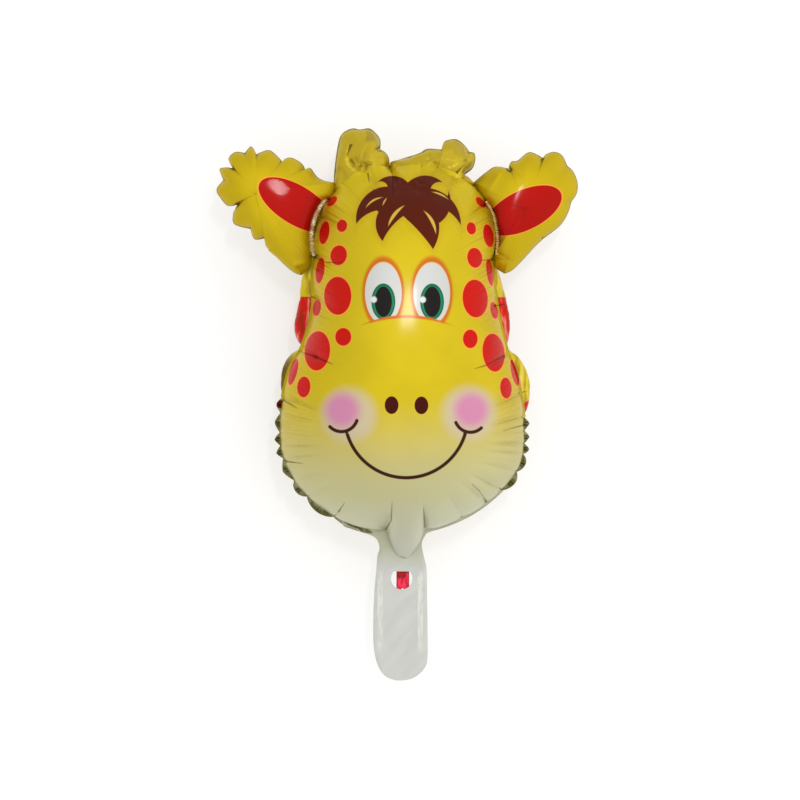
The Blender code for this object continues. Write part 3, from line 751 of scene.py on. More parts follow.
def printed_foil(
        name, spots, creases=(), yellow=YELLOW, red=RED, face=False, back=False, strain=1.0,
        crumpled=None, rough=0.55):
    """The foil with its print: yellow all over, then the face, then red spots with a thin line round,
    and painted shade: darker lines where the foil is folded sharply. On the back, painted reflections
    in dark and pale streaks and a patch of painted shade. Above the height where it is crumpled, it
    lies in small flat facets."""
    material, tree, shader = start_material(name)
    place, beside, up = millimetres(tree)
    mottle = clouds(tree, place, 3.0, 0.03, between=(0.35, 0.65), give=(0.0, 0.25))
    colour = ink(tree, linear(yellow), mottle, "B89E12")
    if face:
        colour = face_print(tree, place, beside, up, colour)
    if back:
        inner = outside_of(tree, band(tree, beside, 0.0, BACK_PATCH[0]))
        patch = join(tree, [inner, band(tree, up, *BACK_PATCH[1:])], "MAXIMUM")
        colour = stamp(tree, colour, patch, RED)
    if spots:
        reds = join(tree, [oval(tree, place, *spot) for spot in spots])
        colour = stamp(tree, colour, reds, SPOT_LINE, 0.6, 0.85)
        colour = stamp(tree, colour, reds, red, 0.6)
    if back:
        # Painted reflections: dark and pale streaks over the back's print
        for start, end, most, code in BACK_PAINTED_REFLECTIONS:
            streak = clouds(
                tree, place, 2.0, stretch={3: (0.22, 0.045, 0.1)}, between=(start, end), give=(0.0, most))
            colour = ink(tree, colour, streak, code)
        shaded = oval(tree, place, *BACK_SHADE)
        colour = stamp(tree, colour, shaded, "5E4006", 14.0, 0.0, 0.9)
    # Painted shade: the print is darkened along sharp pleats and along the drawn creases
    pleat = add(tree, "Attribute", {}, attribute_name="line", out="Fac")
    sharp = inside(tree, pleat, 0.9)
    if creases:
        folded = join(tree, [crease(tree, place, *line[:4], min(0.8, 0.45 * line[4])) for line in creases])
        sharp = join(tree, [sharp, inside(tree, folded, 0.8)], "MAXIMUM")
    shadow = add(tree, "Math", {0: sharp, 1: CREASE_SHADE}, operation="MULTIPLY")
    shaded = {0: shadow, 6: colour, 7: linear("5E5526")}
    colour = add(tree, "Mix", shaded, data_type="RGBA", blend_type="MULTIPLY", out=2)
    seam = add(tree, "UVMap", {}, uv_map="seam")
    inward = add(tree, "SeparateXYZ", {0: seam}, out=1)
    height = clouds(tree, seam, 2.0, stretch={3: STRAIN_LINES})
    for first, last in STRAIN_REACH:
        held = {0: inward, 1: first, 2: last}
        held = add(tree, "MapRange", held, interpolation_type="SMOOTHSTEP")
        height = add(tree, "Math", {0: height, 1: held}, operation="MULTIPLY")
    for first, last in STRAIN_HEIGHTS:
        held = {0: up, 1: first, 2: last, 3: 0.12, 4: strain**0.5}
        held = add(tree, "MapRange", held)
        height = add(tree, "Math", {0: height, 1: held}, operation="MULTIPLY")
    height = add(tree, "Math", {0: sharp, 1: -CREASE_CUT, 2: height}, operation="MULTIPLY_ADD")
    normal = add(tree, "Bump", {"Strength": 1.0, "Distance": STRAIN_DEPTH, "Height": height})
    if crumpled:
        start, tilt = crumpled
        bent = add(tree, "TexNoise", {0: place, 2: 0.08, 3: 2.0}, out=1)
        bent = {0: bent, 1: FACET_BEND, 2: place}
        bent = add(tree, "VectorMath", bent, operation="MULTIPLY_ADD")
        cells = {0: bent, "Scale": 1 / FACET_WIDTH, "Smoothness": 0.3}
        cells = add(tree, "TexVoronoi", cells, feature="SMOOTH_F1", out="Color")
        lean = add(tree, "VectorMath", {0: cells, 1: (0.5, 0.5, 0.5)}, operation="SUBTRACT")
        amount = add(tree, "MapRange", {0: up, 1: start, 2: start + 12.0, 4: tilt})
        lean = add(tree, "VectorMath", {0: lean, 3: amount}, operation="SCALE")
        tilted = add(tree, "VectorMath", {0: normal, 1: lean}, operation="ADD")
        normal = add(tree, "VectorMath", {0: tilted}, operation="NORMALIZE")
    fill(tree, shader, {
        "Base Color": colour, "Normal": normal, "Metallic": 0.85, "Roughness": rough,
        "Specular IOR Level": 0.1, "Coat Weight": 0.15, "Coat Roughness": 0.115})
    return material


face_foil = printed_foil(
    "printed polyester foil, face", SPOTS, FACE_CREASES, face=True, crumpled=(160.0, 0.5))
BACK_SHADE = (-104.0, 4.0, 9.0, 24.0)  # where the back is in the shade of the left cheek
BACK_PAINTED_REFLECTIONS = ((0.5, 0.36, 0.55, "6A2A06"), (0.54, 0.70, 0.6, "E6C8A0"))  # painted reflections in streaks: dark, then pale
BACK_PATCH = (74.0, 50.5, 21.8)  # the red at both sides of the back: inner x, middle y, half height
BACK_SPOTS = (
    (-106.0, -18.3, 6.0, 7.0, 0), (110.0, -26.0, 7.0, 8.0, 0), (-40.0, 80.0, 15.0, 20.0, 10),
    (38.0, 96.0, 14.0, 18.0, -8), (0.0, 30.0, 17.0, 21.0, 5), (-52.0, -10.0, 16.0, 19.0, -12),
    (50.0, -14.0, 15.0, 20.0, 10), (-8.0, -72.0, 18.0, 16.0, 0), (-2.0, 140.0, 15.0, 13.0, 0),
    (-62.0, 132.0, 9.0, 11.0, 0), (64.0, 138.0, 9.0, 11.0, 0),
)
back_foil = printed_foil(
    "printed polyester foil, back", BACK_SPOTS, back=True, crumpled=(-200.0, 0.45), rough=0.35)
MARGIN_REDS = ((-107.5, -21.0, 3.5, 3.5), (107.0, -25.0, 4.0, 7.0))


def welded_margin(name, colour, less_shaded_above):
    """Foil pressed flat and crinkled by the weld. Its olive is painted shade, the print's yellow as it
    looks in shade, with pale patches of painted sheen, and the red print on it is darkened the same
    way. It has another, less dark colour further up."""
    material, tree, shader = start_material(name)
    place, _, up = millimetres(tree)
    reds = join(tree, [oval(tree, place, *red) for red in MARGIN_REDS])
    lit = clouds(tree, place, 1.0, 0.16, between=(0.42, 0.66), give=(0.0, 0.6))
    raised = add(tree, "MapRange", {0: up, 1: -28.0, 2: -14.0})
    mixed = ink(tree, ink(tree, linear(colour), lit, "B4B08C"), raised, less_shaded_above)
    mixed = stamp(tree, mixed, reds, "6E1410")
    fill(tree, shader, {"Base Color": mixed, "Metallic": 0.8, "Roughness": 0.3})
    return material


# Painted shade: the margin's olive, less dark further up
margin_foil = welded_margin("welded margin of metallised foil", "6E6A32", "B4A43C")
for material in (face_foil, back_foil, margin_foil):
    head.data.materials.append(material)
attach(head, "root")
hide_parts("foil_body")

# The ears: each a small chamber of its own, welded across its root. Its edge gathers in lobes.
# Outlines are in pixels of the photograph. Each lobe has how far its pleat runs in, and then its
# points, which go on from the last one of the lobe before.
LOBE_MARGIN = 0.0007  # of the flat edge outside the weld
LOBE_SPACING = 0.0011
EAR_DEPTH = 0.016
EAR_LEFT = (
    (0, (325, 181.2), (317.1, 177.1), (310.5, 168.5), (305.4, 170)),
    (8, (301.8, 163.9), (291.6, 158.3), (284.5, 159.8), (283, 163.9)),
    (12, (281.4, 160.8), (270.2, 151.1), (260, 153.5), (256.9, 155.2)),
    (5, (253.5, 149), (251.3, 147), (248.5, 149.5), (245.2, 153.7)),
    (5, (235.5, 153), (228.9, 159.8), (233, 169)),
    (14, (227, 168.3), (220.2, 169.5), (221, 174), (223.8, 181)),
    (4, (217, 190.4), (221, 199), (228.4, 206.7), (237.6, 205.7)),
    (18, (233.5, 214.9), (235, 225.1), (250.8, 229.7)),
    (6, (254.9, 239.9), (266.6, 238.4)),
    (13, (266.1, 246.5), (279, 260), (292.7, 272), (301.3, 275.6)),
    (0, (309, 268), (312.5, 255)),
    (0, (310.8, 238), (312.4, 224), (317.2, 211), (323.5, 202)),
    (0, (335, 196), (338, 183)),
)
EAR_RIGHT = (
    (0, (486, 172), (495.7, 166.2), (509, 167.8)),
    (14, (510, 163.7), (512.6, 160.6), (518.2, 159.8), (529.9, 151.4), (543.7, 157)),
    (15, (546.7, 153.5), (554.9, 150.9), (563, 154.5), (568.2, 164.7)),
    (3, (574.3, 170.8), (578.4, 181), (577.9, 192.2), (572.2, 201.4)),
    (3, (569, 212), (561, 224.9), (543.7, 238.6)),
    (8, (535.5, 246.3), (525.3, 257.6), (513, 269.8), (504.9, 273.4)),
    (0, (495, 266.5), (493, 257)),
    (0, (498, 248), (499.2, 238), (498.4, 226), (495, 213.5), (487.5, 203.5)),
    (0, (479, 194), (474, 182)),
)
EAR_CENTRES = ((256, 196), (522, 209))  # where each is fullest
# Flat facets that cut off a little of the front's height: lean to the right, lean up and the cut
EAR_FACETS = (((0.058, 0.062, 0.0002), (0.16, 0.01, 0.0003)), ())
FACET_EDGE = 0.00004
FACET_FLATNESS = 0.82
EAR_CREASES = (
    ((-116.0, 113.0, -95.0, 99.5, -1.4, 1.3), (-95.0, 99.5, -80.0, 103.0, -1.4, 1.3)),
    ((85.5, 183.5, 72.0, 163.0, -1.6, 1.6), (91.5, 184.3, 103.0, 179.2, 1.4, 1.1),
     (81.4, 110.3, 92.3, 105.2, 1.2, 0.9), (81.0, 105.5, 96.6, 103.0, 1.0, 0.9)),
)
CHAMBER_RINGS = 44
CHAMBER_REACH = 0.24
CHAMBER_PLEATS = 0.0016
CHAMBER_SPREAD = 0.0014  # of a pleat to both sides
CHAMBER_CRUMPLES = 0.0014


def from_photo(points):
    """Places on the seam's plane, relative to the face's middle, of pixels of the photograph."""
    x, y = np.array(points, float).T
    return np.column_stack((x - PHOTO_FACE[0], PHOTO_FACE[1] - y)) * PHOTO_SCALE


def open_curve(points, marks):
    """Points of an open Catmull-Rom curve at marks that are shares of its length."""
    padded = np.vstack((points[:1], points, points[-1:]))
    steps = np.linspace(1, len(points) - 1e-9, 30 * len(points))
    fine = smooth_loop(padded, steps)
    length = np.concatenate(([0], np.cumsum(np.linalg.norm(np.diff(fine, axis=0), axis=1))))
    return np.column_stack([np.interp(np.array(marks) * length[-1], length, fine[:, k]) for k in (0, 1)])


def lobed_loop(lobes):
    """Points round a lobed outline, each one's way through its lobe, and the pleats' lengths."""
    points, way, reach = [], [], []
    before = lobes[-1]
    for lobe in lobes:
        length, *corners = lobe
        corners = from_photo([before[-1], *corners])
        before = lobe
        size = np.linalg.norm(np.diff(corners, axis=0), axis=1).sum()
        marks = spaced(max(8, round(size / LOBE_SPACING)))
        points.append(open_curve(corners, marks))
        way.append(marks)
        reach.append(np.full(len(marks), length / 1000))
    return np.vstack(points), np.concatenate(way), np.concatenate(reach)


def softened(loop, centre, waves=2):
    """The loop with only its broadest swings kept."""
    reach = np.linalg.norm(loop - centre, axis=1)
    angle = np.arctan2(loop[:, 1] - centre[1], loop[:, 0] - centre[0])
    swings = [np.ones_like(angle)]
    for k in range(1, waves + 1):
        swings += [np.cos(k * angle), np.sin(k * angle)]
    swings = np.column_stack(swings)
    fit = swings @ np.linalg.lstsq(swings, reach, rcond=None)[0]
    return centre + (loop - centre) * (fit / reach)[:, None]


def small_chamber(name, lobes, centre, depth, creases, facets, folded=0):
    """An ear or a horn: a lobed outline blown up from its own middle, with a few flat facets and,
    where it is half crumpled, a few folds."""
    loop, way, length = lobed_loop(lobes)
    centre = from_photo([centre])[0]
    reach = np.linalg.norm(loop - centre, axis=1)
    weld = centre + (loop - centre) * (1 - LOBE_MARGIN / reach)[:, None]
    number = np.cumsum(way == 0) - 1
    own_pleat = length[way == 0]
    next_pleat = np.roll(own_pleat, -1)
    dip = np.where(way < 0.5, own_pleat[number], next_pleat[number]) > 0
    lobe = np.where(dip, np.sin(math.pi * way) ** 0.6, 1.0)
    soft = softened(weld, centre)
    shares, rises = membrane_profile(CHAMBER_RINGS)
    along, whole = seam_length(weld)
    marked = own_pleat > 0
    far, mark = nearest_mark(along, whole, along[way == 0][marked])
    reach_in = 0.75 * own_pleat[marked][mark]
    deep = CHAMBER_PLEATS * np.clip(reach_in / 0.010, 0.5, 1.2)
    kinds = [(far, deep, reach_in, CHAMBER_SPREAD)]
    sheets, lines = [], []
    for side in (1, -1):
        grid = sheet(weld, centre, soft, lambda y: depth, shares, rises, side, lobe, reach=CHAMBER_REACH)
        for lean_x, lean_y, cut_off in facets if side > 0 else ():
            level = grid[..., 2] + lean_x * grid[..., 0] + lean_y * grid[..., 1]
            over = level - level.max() + cut_off
            grid[..., 2] -= FACET_FLATNESS * (over + np.hypot(over, FACET_EDGE)) / 2
        press, line = gathered(grid, shares, PLEAT_STARTS[1], kinds, 1, 0.9)
        if side > 0:
            press += folds(grid, creases)
        sheets.append(press_in(grid, press + CHAMBER_CRUMPLES * crumples(grid, folded)))
        lines.append(line)
    rim = [np.column_stack((loop, np.full(len(loop), side * SHEET_THICKNESS / 2))) for side in (1, -1)]
    return close_up(name, sheets, lines, rim, (along, whole), (0, 1, 1, 1, 0))


# Painted shade: the ears' red is darker than the face's, as they take less light
ear_foil = printed_foil(
    "printed polyester foil, ears", EAR_REDS, yellow=DEEP_YELLOW, red="AC0E06", strain=0.2)
# Painted shade: the ears' and horns' narrow edge in olive
thin_margin = welded_margin("narrow welded edge", "A0963A", "A89C3C")
for name, lobes, centre, creases, facets in zip(
        ("ear_left", "ear_right"), (EAR_LEFT, EAR_RIGHT), EAR_CENTRES, EAR_CREASES, EAR_FACETS):
    ear = small_chamber(name, lobes, centre, EAR_DEPTH, creases, facets)
    ear.data.materials.append(ear_foil)
    ear.data.materials.append(thin_margin)
    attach(ear, "root")
    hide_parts("foil_body")

# The horns: two stubby chambers of the same foil, welded to the top of the head like the ears. They
# are half crumpled because little air gets in.
HORN_DEPTH = 0.017
HORN_FOLDS = 3
RISE_REACH = 0.010
RISE_SINK = 0.0015
RISE_SPREAD = 0.004
HORN_LEFT = (
    (0, (333.8, 180.8), (334.9, 165.9), (337.2, 148.7), (340.1, 137.2), (345.3, 131.5),
     (353.3, 128.6), (359.6, 129.8), (369.4, 128.6), (376.3, 133.8), (380.3, 140.1), (380.3, 149.3)),
    (9, (385.4, 152.7), (388.9, 157.9), (389.5, 164.8)),
    (0, (391, 182), (386, 200)),
    (0, (360, 206), (334, 200)),
)
HORN_RIGHT = (
    (0, (389.5, 164), (399.2, 159.6), (418.7, 153.3), (427.3, 148.7), (441.7, 149.3)),
    (7, (443.4, 143), (446.9, 140.1), (456.6, 138.9), (464.6, 144.7), (469.8, 151.6)),
    (4, (474.4, 152.7), (475.6, 159), (472.7, 168.2), (464.6, 174.5)),
    (6, (469.2, 177.4), (476.1, 184.3)),
    (0, (450, 196), (420, 196), (388, 182)),
)
HORN_CENTRES = ((361, 170), (436, 172))
HORN_FACETS = (
    ((0.31, 0.64, 0.0012), (-0.61, 0.46, 0.0012), (0.61, 0.20, 0.0010), (-0.20, 0.13, 0.0010),
     (0.70, -0.15, 0.0012), (-0.70, -0.15, 0.0012)),
    ((0.45, 0.70, 0.0012), (0.20, 0.41, 0.0010), (-0.25, 0.62, 0.0012), (-0.61, 0.26, 0.0012),
     (0.61, 0.26, 0.0012), (0.05, 0.0, 0.0010)),
)
HORN_CREASES = (
    ((-46.5, 204.0, -49.6, 195.2, 2.2, 1.2), (-48.0, 192.0, -41.2, 183.2, 2.4, 1.2),
     (-21.3, 201.0, -27.0, 200.0, 2.0, 1.2), (-38.0, 187.5, -22.0, 189.5, 2.0, 0.9),
     (-13.4, 185.0, -21.4, 186.6, 2.2, 1.4), (-34.0, 186.0, -36.0, 176.0, 1.6, 1.0)),
    ((44.8, 179.3, 52.1, 187.5, 3.0, 1.4), (26.5, 188.6, 45.3, 178.6, 2.2, 1.2),
     (14.4, 188.4, 15.0, 182.0, 1.6, 1.2), (58.0, 196.0, 52.0, 188.0, 1.6, 1.0),
     (20.0, 192.0, 32.0, 197.0, 1.6, 0.8)),
)


def rise_to(horn):
    """Lifts the head's sheets smoothly to just under the horn that grows out of them, whose heights
    are averaged over a spread up and down."""
    sheets = BVHTree.FromPolygons(
        [v.co for v in horn.data.vertices], [p.vertices for p in horn.data.polygons])
    for vertex in head.data.vertices:
        side = 1 if vertex.co.z > FACE[2] else -1
        heights = []
        for shift in np.linspace(-RISE_SPREAD, RISE_SPREAD, 9):
            above = Vector((vertex.co.x, vertex.co.y + shift, FACE[2] + side))
            place = sheets.ray_cast(above, Vector((0, 0, -side)))[0]
            heights.append(0.0 if place is None else side * (place.z - FACE[2]))
        own = side * (vertex.co.z - FACE[2])
        other = sum(heights) / len(heights) - RISE_SINK
        if other > 0 and own > SHEET_THICKNESS:
            soft = min(RISE_REACH, other)
            vertex.co.z = FACE[2] + side * (own + other + math.hypot(own - other, soft)) / 2
    head.data.update()


# Painted shade: the horns' yellow is darker, as they take less light, and the first crease of each is drawn
# as a dark line
horn_foil = printed_foil(
    "printed polyester foil, horns", (), [horn[0] for horn in HORN_CREASES], "BAA224", strain=0.2,
    crumpled=(100.0, 0.7), rough=0.45)
for name, lobes, centre, creases, facets in zip(
        ("horn_left", "horn_right"), (HORN_LEFT, HORN_RIGHT), HORN_CENTRES, HORN_CREASES, HORN_FACETS):
    horn = small_chamber(name, lobes, centre, HORN_DEPTH, creases, facets, HORN_FOLDS)
    horn.data.materials.append(horn_foil)
    horn.data.materials.append(thin_margin)
    rise_to(horn)
    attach(horn, "root")
    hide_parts("foil_body")

# The ears' roots: a weld across the foil shuts each ear off from the head. The blown-up foil draws
# this band up into fine ribs, a few millimetres in front of the seam's plane.
BAND_WIDTHS = (0.0052, 0.0038)
BAND_HEIGHTS = (0.0038, 0.0064)
RIB_SPACING = 0.0019
RIB_THICKNESS = 1.35  # of the spacing, so that the ribs touch
RIB_SEEDS = (3, 8)
RIB_TURNS = ((-0.12, -0.12, -0.22), (0.12, 0.12, 0.22))
RIB_SIZES = ((0.8, 0.7, 0.6), (1.05, 1.1, 1.1))
BANDS = (  # the lines of both welds, in millimetres from the face's middle
    ((-68.6, 156.8), (-74.9, 147.0), (-79.1, 135.7), (-80.6, 124.4), (-79.6, 113.0), (-78.2, 108.3)),
    ((71.6, 154.5), (77.0, 145.0), (79.9, 133.2), (81.0, 121.9), (80.6, 109.7)),
)
band_foil, tree, shader = start_material("weld band, matt whitish gold where the ink is crazed")
place = add(tree, "TexCoord", {}, out="Object")
crazed = clouds(tree, place, 2.0, 420.0, between=(0.38, 0.62))
white_gold = ink(tree, linear("B49452"), crazed, "EBDFBB")
right = add(tree, "SeparateXYZ", {0: place})
golden = add(tree, "MapRange", {0: right, 1: 0.0, 2: 0.01, 4: 0.6})
white_gold = ink(tree, white_gold, golden, "D8AC3C")
red_tinge = clouds(tree, place, 1.0, 90.0, between=(0.52, 0.66), give=(0.0, 0.55))
white_gold = ink(tree, white_gold, red_tinge, "C0584A")
fill(tree, shader, {"Base Color": white_gold, "Metallic": 0.3, "Roughness": 0.45})


def ribs_along_a_curve():
    """Geometry Nodes that turn a line into a row of ribs lying across it."""
    tree = bpy.data.node_groups.new("ribs along a line", "GeometryNodeTree")
    named = {}
    for label, kind in (
            ("Line", "NodeSocketGeometry"), ("Spacing", "NodeSocketFloat"), ("Width", "NodeSocketFloat"),
            ("Seed", "NodeSocketInt"), ("Material", "NodeSocketMaterial")):
        named[label] = tree.interface.new_socket(label, in_out="INPUT", socket_type=kind).identifier
    tree.interface.new_socket("Ribs", in_out="OUTPUT", socket_type="NodeSocketGeometry")
    given = add(tree, "NodeGroupInput", {}, None).outputs
    curve = add(tree, "GeometryNodeMeshToCurve", {0: given["Line"]})
    smooth = add(tree, "GeometryNodeCurveSplineType", {0: curve}, spline_type="CATMULL_ROM")
    evenly = {"Curve": smooth, "Length": given["Spacing"]}
    row = add(tree, "GeometryNodeCurveToPoints", evenly, None, mode="LENGTH").outputs
    turn = add(
        tree, "FunctionNodeAlignRotationToVector", {"Vector": row["Tangent"]}, axis="Y", pivot_axis="Z")
    uneven = []
    for least, most in (RIB_TURNS, RIB_SIZES):
        limits = {0: least, 1: most, "Seed": given["Seed"]}
        uneven.append(add(tree, "FunctionNodeRandomValue", limits, data_type="FLOAT_VECTOR"))
    turned = add(tree, "FunctionNodeRotateRotation", {0: turn, 1: uneven[0]})
    thick = add(tree, "Math", {0: given["Spacing"], 1: RIB_THICKNESS}, operation="MULTIPLY")
    shape = add(tree, "CombineXYZ", {0: given["Width"], 1: thick, 2: thick})
    ball = add(tree, "GeometryNodeMeshUVSphere", {"Segments": 14, "Rings": 8, "Radius": 0.5})
    rib = add(tree, "GeometryNodeTransform", {"Geometry": ball, "Scale": shape})
    placed = add(tree, "GeometryNodeInstanceOnPoints", {
        "Points": row["Points"], "Instance": rib, "Rotation": turned, "Scale": uneven[1]})
    solid = add(tree, "GeometryNodeRealizeInstances", {0: placed})
    soft = add(tree, "GeometryNodeSetShadeSmooth", {"Geometry": solid})
    coated = add(tree, "GeometryNodeSetMaterial", {"Geometry": soft, "Material": given["Material"]})
    add(tree, "NodeGroupOutput", {0: coated}, None)
    return tree, named


rib_tree, rib_inputs = ribs_along_a_curve()
for side, route, width, height, seed in zip(
        ("left", "right"), BANDS, BAND_WIDTHS, BAND_HEIGHTS, RIB_SEEDS):
    points = [(x / 1000 + FACE[0], y / 1000 + FACE[1], FACE[2] + height) for x, y in route]
    line = bpy.data.meshes.new(f"weld line {side}")
    line.from_pydata(points, [(k, k + 1) for k in range(len(points) - 1)], [])
    guide = put_in_scene(f"weld line {side}", line)
    modifier = guide.modifiers.new("ribs", "NODES")
    modifier.node_group = rib_tree
    for label, value in (
            ("Spacing", RIB_SPACING), ("Width", width), ("Seed", seed), ("Material", band_foil)):
        modifier[rib_inputs[label]] = value
    ready = guide.evaluated_get(bpy.context.evaluated_depsgraph_get())
    ear_weld = put_in_scene(f"ear_weld_{side}", bpy.data.meshes.new_from_object(ready))
    bpy.data.objects.remove(guide)
    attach(ear_weld, "root")
    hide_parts("foil_body")

# The tail: two flat sheets of unprinted film, milky and a little wavy, welded along both sides and
# across the end, with a hole through which the balloon is filled.
TAIL_THICKNESS = 0.0018
TAIL_LEFT = (  # x and y of the left edge from the head to the end, in millimetres
    (-54.0, -118.0), (-53.0, -126.5), (-44.8, -129.8), (-30.5, -134.5), (-24.0, -138.5),
    (-21.4, -146.0), (-23.2, -153.5), (-24.2, -166.1), (-25.6, -180.7), (-26.6, -200.1),
    (-26.8, -224.4), (-25.4, -239.0), (-21.8, -250.6), (-15.9, -258.0), (-8.2, -261.2), (-3.0, -261.5),
)
TAIL_RIGHT = (
    (26.0, -118.0), (24.9, -130.7), (20.0, -133.5), (16.6, -138.9), (15.5, -143.7), (16.6, -150.5),
    (18.5, -158.4), (19.8, -166.1), (20.2, -185.5), (20.7, -224.4), (20.7, -239.0), (19.6, -247.8),
    (15.1, -254.6), (7.4, -259.8), (0.0, -261.4), (-3.0, -261.5),
)
TAIL_ENDS = (-0.118, -0.26145)  # heights of the first row, which the head covers, and the last
TAIL_GRID = (190, 60)
SHARP_ANGLE = math.radians(50)  # film that is bent more than this has an edge
FILM_WAVES = 7
WAVE_HEIGHT = 0.00022
WAVE_LENGTHS = (0.016, 0.05)
UNDER_MARGIN = 0.0016
HOLE_CENTRE = (-2.0, -172.9)
HOLE_DIAMETER = 18.7
END_WELD = (-3.0, -232.0, 19.0, 22.5)  # oval whose lower end is the weld across the tail's end
END_WELD_TOP = -248.0
SIDE_WELDS = (-20.8, 14.2)
SIDE_WELD_HALF = 2.2
SIDE_WELD_ENDS = ((-238.0, -228.0), (-165.0, -172.0))
HOLE_TOP = 6.3  # where the hole's upper edge is cut off flat, above its middle


def film_strip(name, x, y, heights):
    """A closed mesh of two sheets of film over one grid, with walls round its border."""
    cells = np.arange(x.size).reshape(x.shape)
    quads = np.stack((cells[:-1, :-1], cells[1:, :-1], cells[1:, 1:], cells[:-1, 1:]), -1).reshape(-1, 4)
    border = np.concatenate((cells[0], cells[1:, -1], cells[-1, -2::-1], cells[-2:0:-1, 0]))
    after = np.roll(border, -1)
    walls = np.column_stack((border, after, after + x.size, border + x.size))
    faces = np.vstack((quads, quads[:, ::-1] + x.size, walls))
    points = np.concatenate([np.column_stack((x.ravel(), y.ravel(), z.ravel())) for z in heights])
    mesh = bpy.data.meshes.new(name)
    mesh.from_pydata((points + FACE).tolist(), [], faces.tolist())
    shape = bmesh.new()
    shape.from_mesh(mesh)
    bmesh.ops.remove_doubles(shape, verts=shape.verts, dist=0.00001)
    bmesh.ops.recalc_face_normals(shape, faces=shape.faces)
    shape.to_mesh(mesh)
    shape.free()
    return mesh


def edge_at(points, rows):
    """How far to the right one edge of the tail is at each row."""
    line = open_curve(np.array(points), np.linspace(0, 1, 700)) / 1000
    return np.interp(-rows, -line[:, 1], line[:, 0])


run = 1 - (1 - np.linspace(0, 1, TAIL_GRID[0])) ** 1.35
rows = TAIL_ENDS[0] + (TAIL_ENDS[1] - TAIL_ENDS[0]) * run
left_x, right_x = edge_at(TAIL_LEFT, rows), edge_at(TAIL_RIGHT, rows)
across = (1 - np.cos(np.linspace(0, math.pi, TAIL_GRID[1]))) / 2
tail_x = left_x[:, None] + (right_x - left_x)[:, None] * across[None, :]
tail_y = np.repeat(rows[:, None], TAIL_GRID[1], 1)
wave = np.zeros_like(tail_x)
for _ in range(FILM_WAVES):
    angle, length, shift = rng.uniform(-0.9, 0.9), rng.uniform(*WAVE_LENGTHS), rng.uniform(0, 6.28)
    ahead = tail_x * math.cos(angle) + tail_y * math.sin(angle)
    wave += WAVE_HEIGHT * np.sin(ahead * 6.28 / length + shift)
ends = np.clip(16 * across * (1 - across), 0, 1)[None, :] ** 0.5
wave -= UNDER_MARGIN * smooth_step(-tail_x, 0.026, 0.034)  # under the head's margin at the left
heights = [
    (side * TAIL_THICKNESS / 2 + wave) * ends + side * SHEET_THICKNESS / 2 for side in (1, -1)]
punch_mesh = bpy.data.meshes.new("punch")
shape = bmesh.new()
bmesh.ops.create_cone(
    shape, cap_ends=True, segments=72, radius1=HOLE_DIAMETER / 2000, radius2=HOLE_DIAMETER / 2000, depth=0.02)
for vertex in shape.verts:
    vertex.co.y = min(vertex.co.y, HOLE_TOP / 1000)
shape.to_mesh(punch_mesh)
shape.free()
punch = put_in_scene("punch", punch_mesh)
punch.location = (HOLE_CENTRE[0] / 1000 + FACE[0], HOLE_CENTRE[1] / 1000 + FACE[1], FACE[2])
uncut = put_in_scene("uncut tail", film_strip("tail", tail_x, tail_y, heights))
cut = uncut.modifiers.new("hole", "BOOLEAN")
cut.object = punch
cut.solver = "EXACT"
ready = uncut.evaluated_get(bpy.context.evaluated_depsgraph_get())
tail = put_in_scene("tail", bpy.data.meshes.new_from_object(ready))
bpy.data.objects.remove(uncut)
bpy.data.objects.remove(punch)
tail.data.shade_smooth()
tail.data.set_sharp_from_angle(angle=SHARP_ANGLE)


def from_the_face(tree):
    """Places in millimetres from the face's middle, on a piece without a map of its own."""
    place = add(tree, "TexCoord", {}, out="Object")
    place = {0: place, 1: tuple(-FACE * 1000), 3: (1000, 1000, 1000)}
    place = add(tree, "Mapping", place)
    split = add(tree, "SeparateXYZ", {0: place}, None)
    return place, split.outputs[0], split.outputs[1]


clear_film, tree, shader = start_material("unprinted film, milky and a little glossy")
place, beside, up = from_the_face(tree)
tint = add(tree, "MapRange", {0: up, 1: -166.0, 2: -146.0})
milky = clouds(
    tree, place, 3.0, stretch={2: (0, 0, 0.8), 3: (42.0, 9.0, 10.0)}, between=(0.4, 0.62),
    vector_type="TEXTURE")
colour = ink(tree, ink(tree, linear("BDBEB8"), milky, "C3C4BD"), tint, "ABAC90")
end_weld = band(tree, oval(tree, place, *END_WELD), 0.0, 0.0)
low = add(tree, "Math", {0: up, 1: END_WELD_TOP}, operation="SUBTRACT")
end_weld = join(tree, [end_weld, low], "MAXIMUM")
colour = stamp(tree, colour, end_weld, "C4C5AC", 1.4, 0.8, 0.45)
for middle_x in SIDE_WELDS:
    strip = inside(tree, band(tree, beside, middle_x, SIDE_WELD_HALF), 1.0)
    patchy = clouds(
        tree, place, 2.0, stretch={1: (middle_x, 0, 0), 3: (0.35, 0.09, 0.3)}, between=(0.38, 0.6),
        give=(0.15, 1.0))
    strip = add(tree, "Math", {0: strip, 1: patchy}, operation="MULTIPLY")
    for start, end in SIDE_WELD_ENDS:
        ends = add(tree, "MapRange", {0: up, 1: start, 2: end})
        strip = add(tree, "Math", {0: strip, 1: ends}, operation="MULTIPLY")
    colour = ink(tree, colour, strip, "D5D6CB")
ripple = clouds(tree, place, 4.0, stretch={2: (0, 0, 0.12), 3: (0.55, 0.05, 0.3)})
ripple = add(tree, "Bump", {"Strength": 0.3, "Distance": 0.0006, "Height": ripple})
fill(tree, shader, {
    "Base Color": colour, "Normal": ripple, "Roughness": 0.3, "Specular IOR Level": 0.5})
tail.data.materials.clear()
tail.data.materials.append(clear_film)
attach(tail, "root")
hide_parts("foil_body")

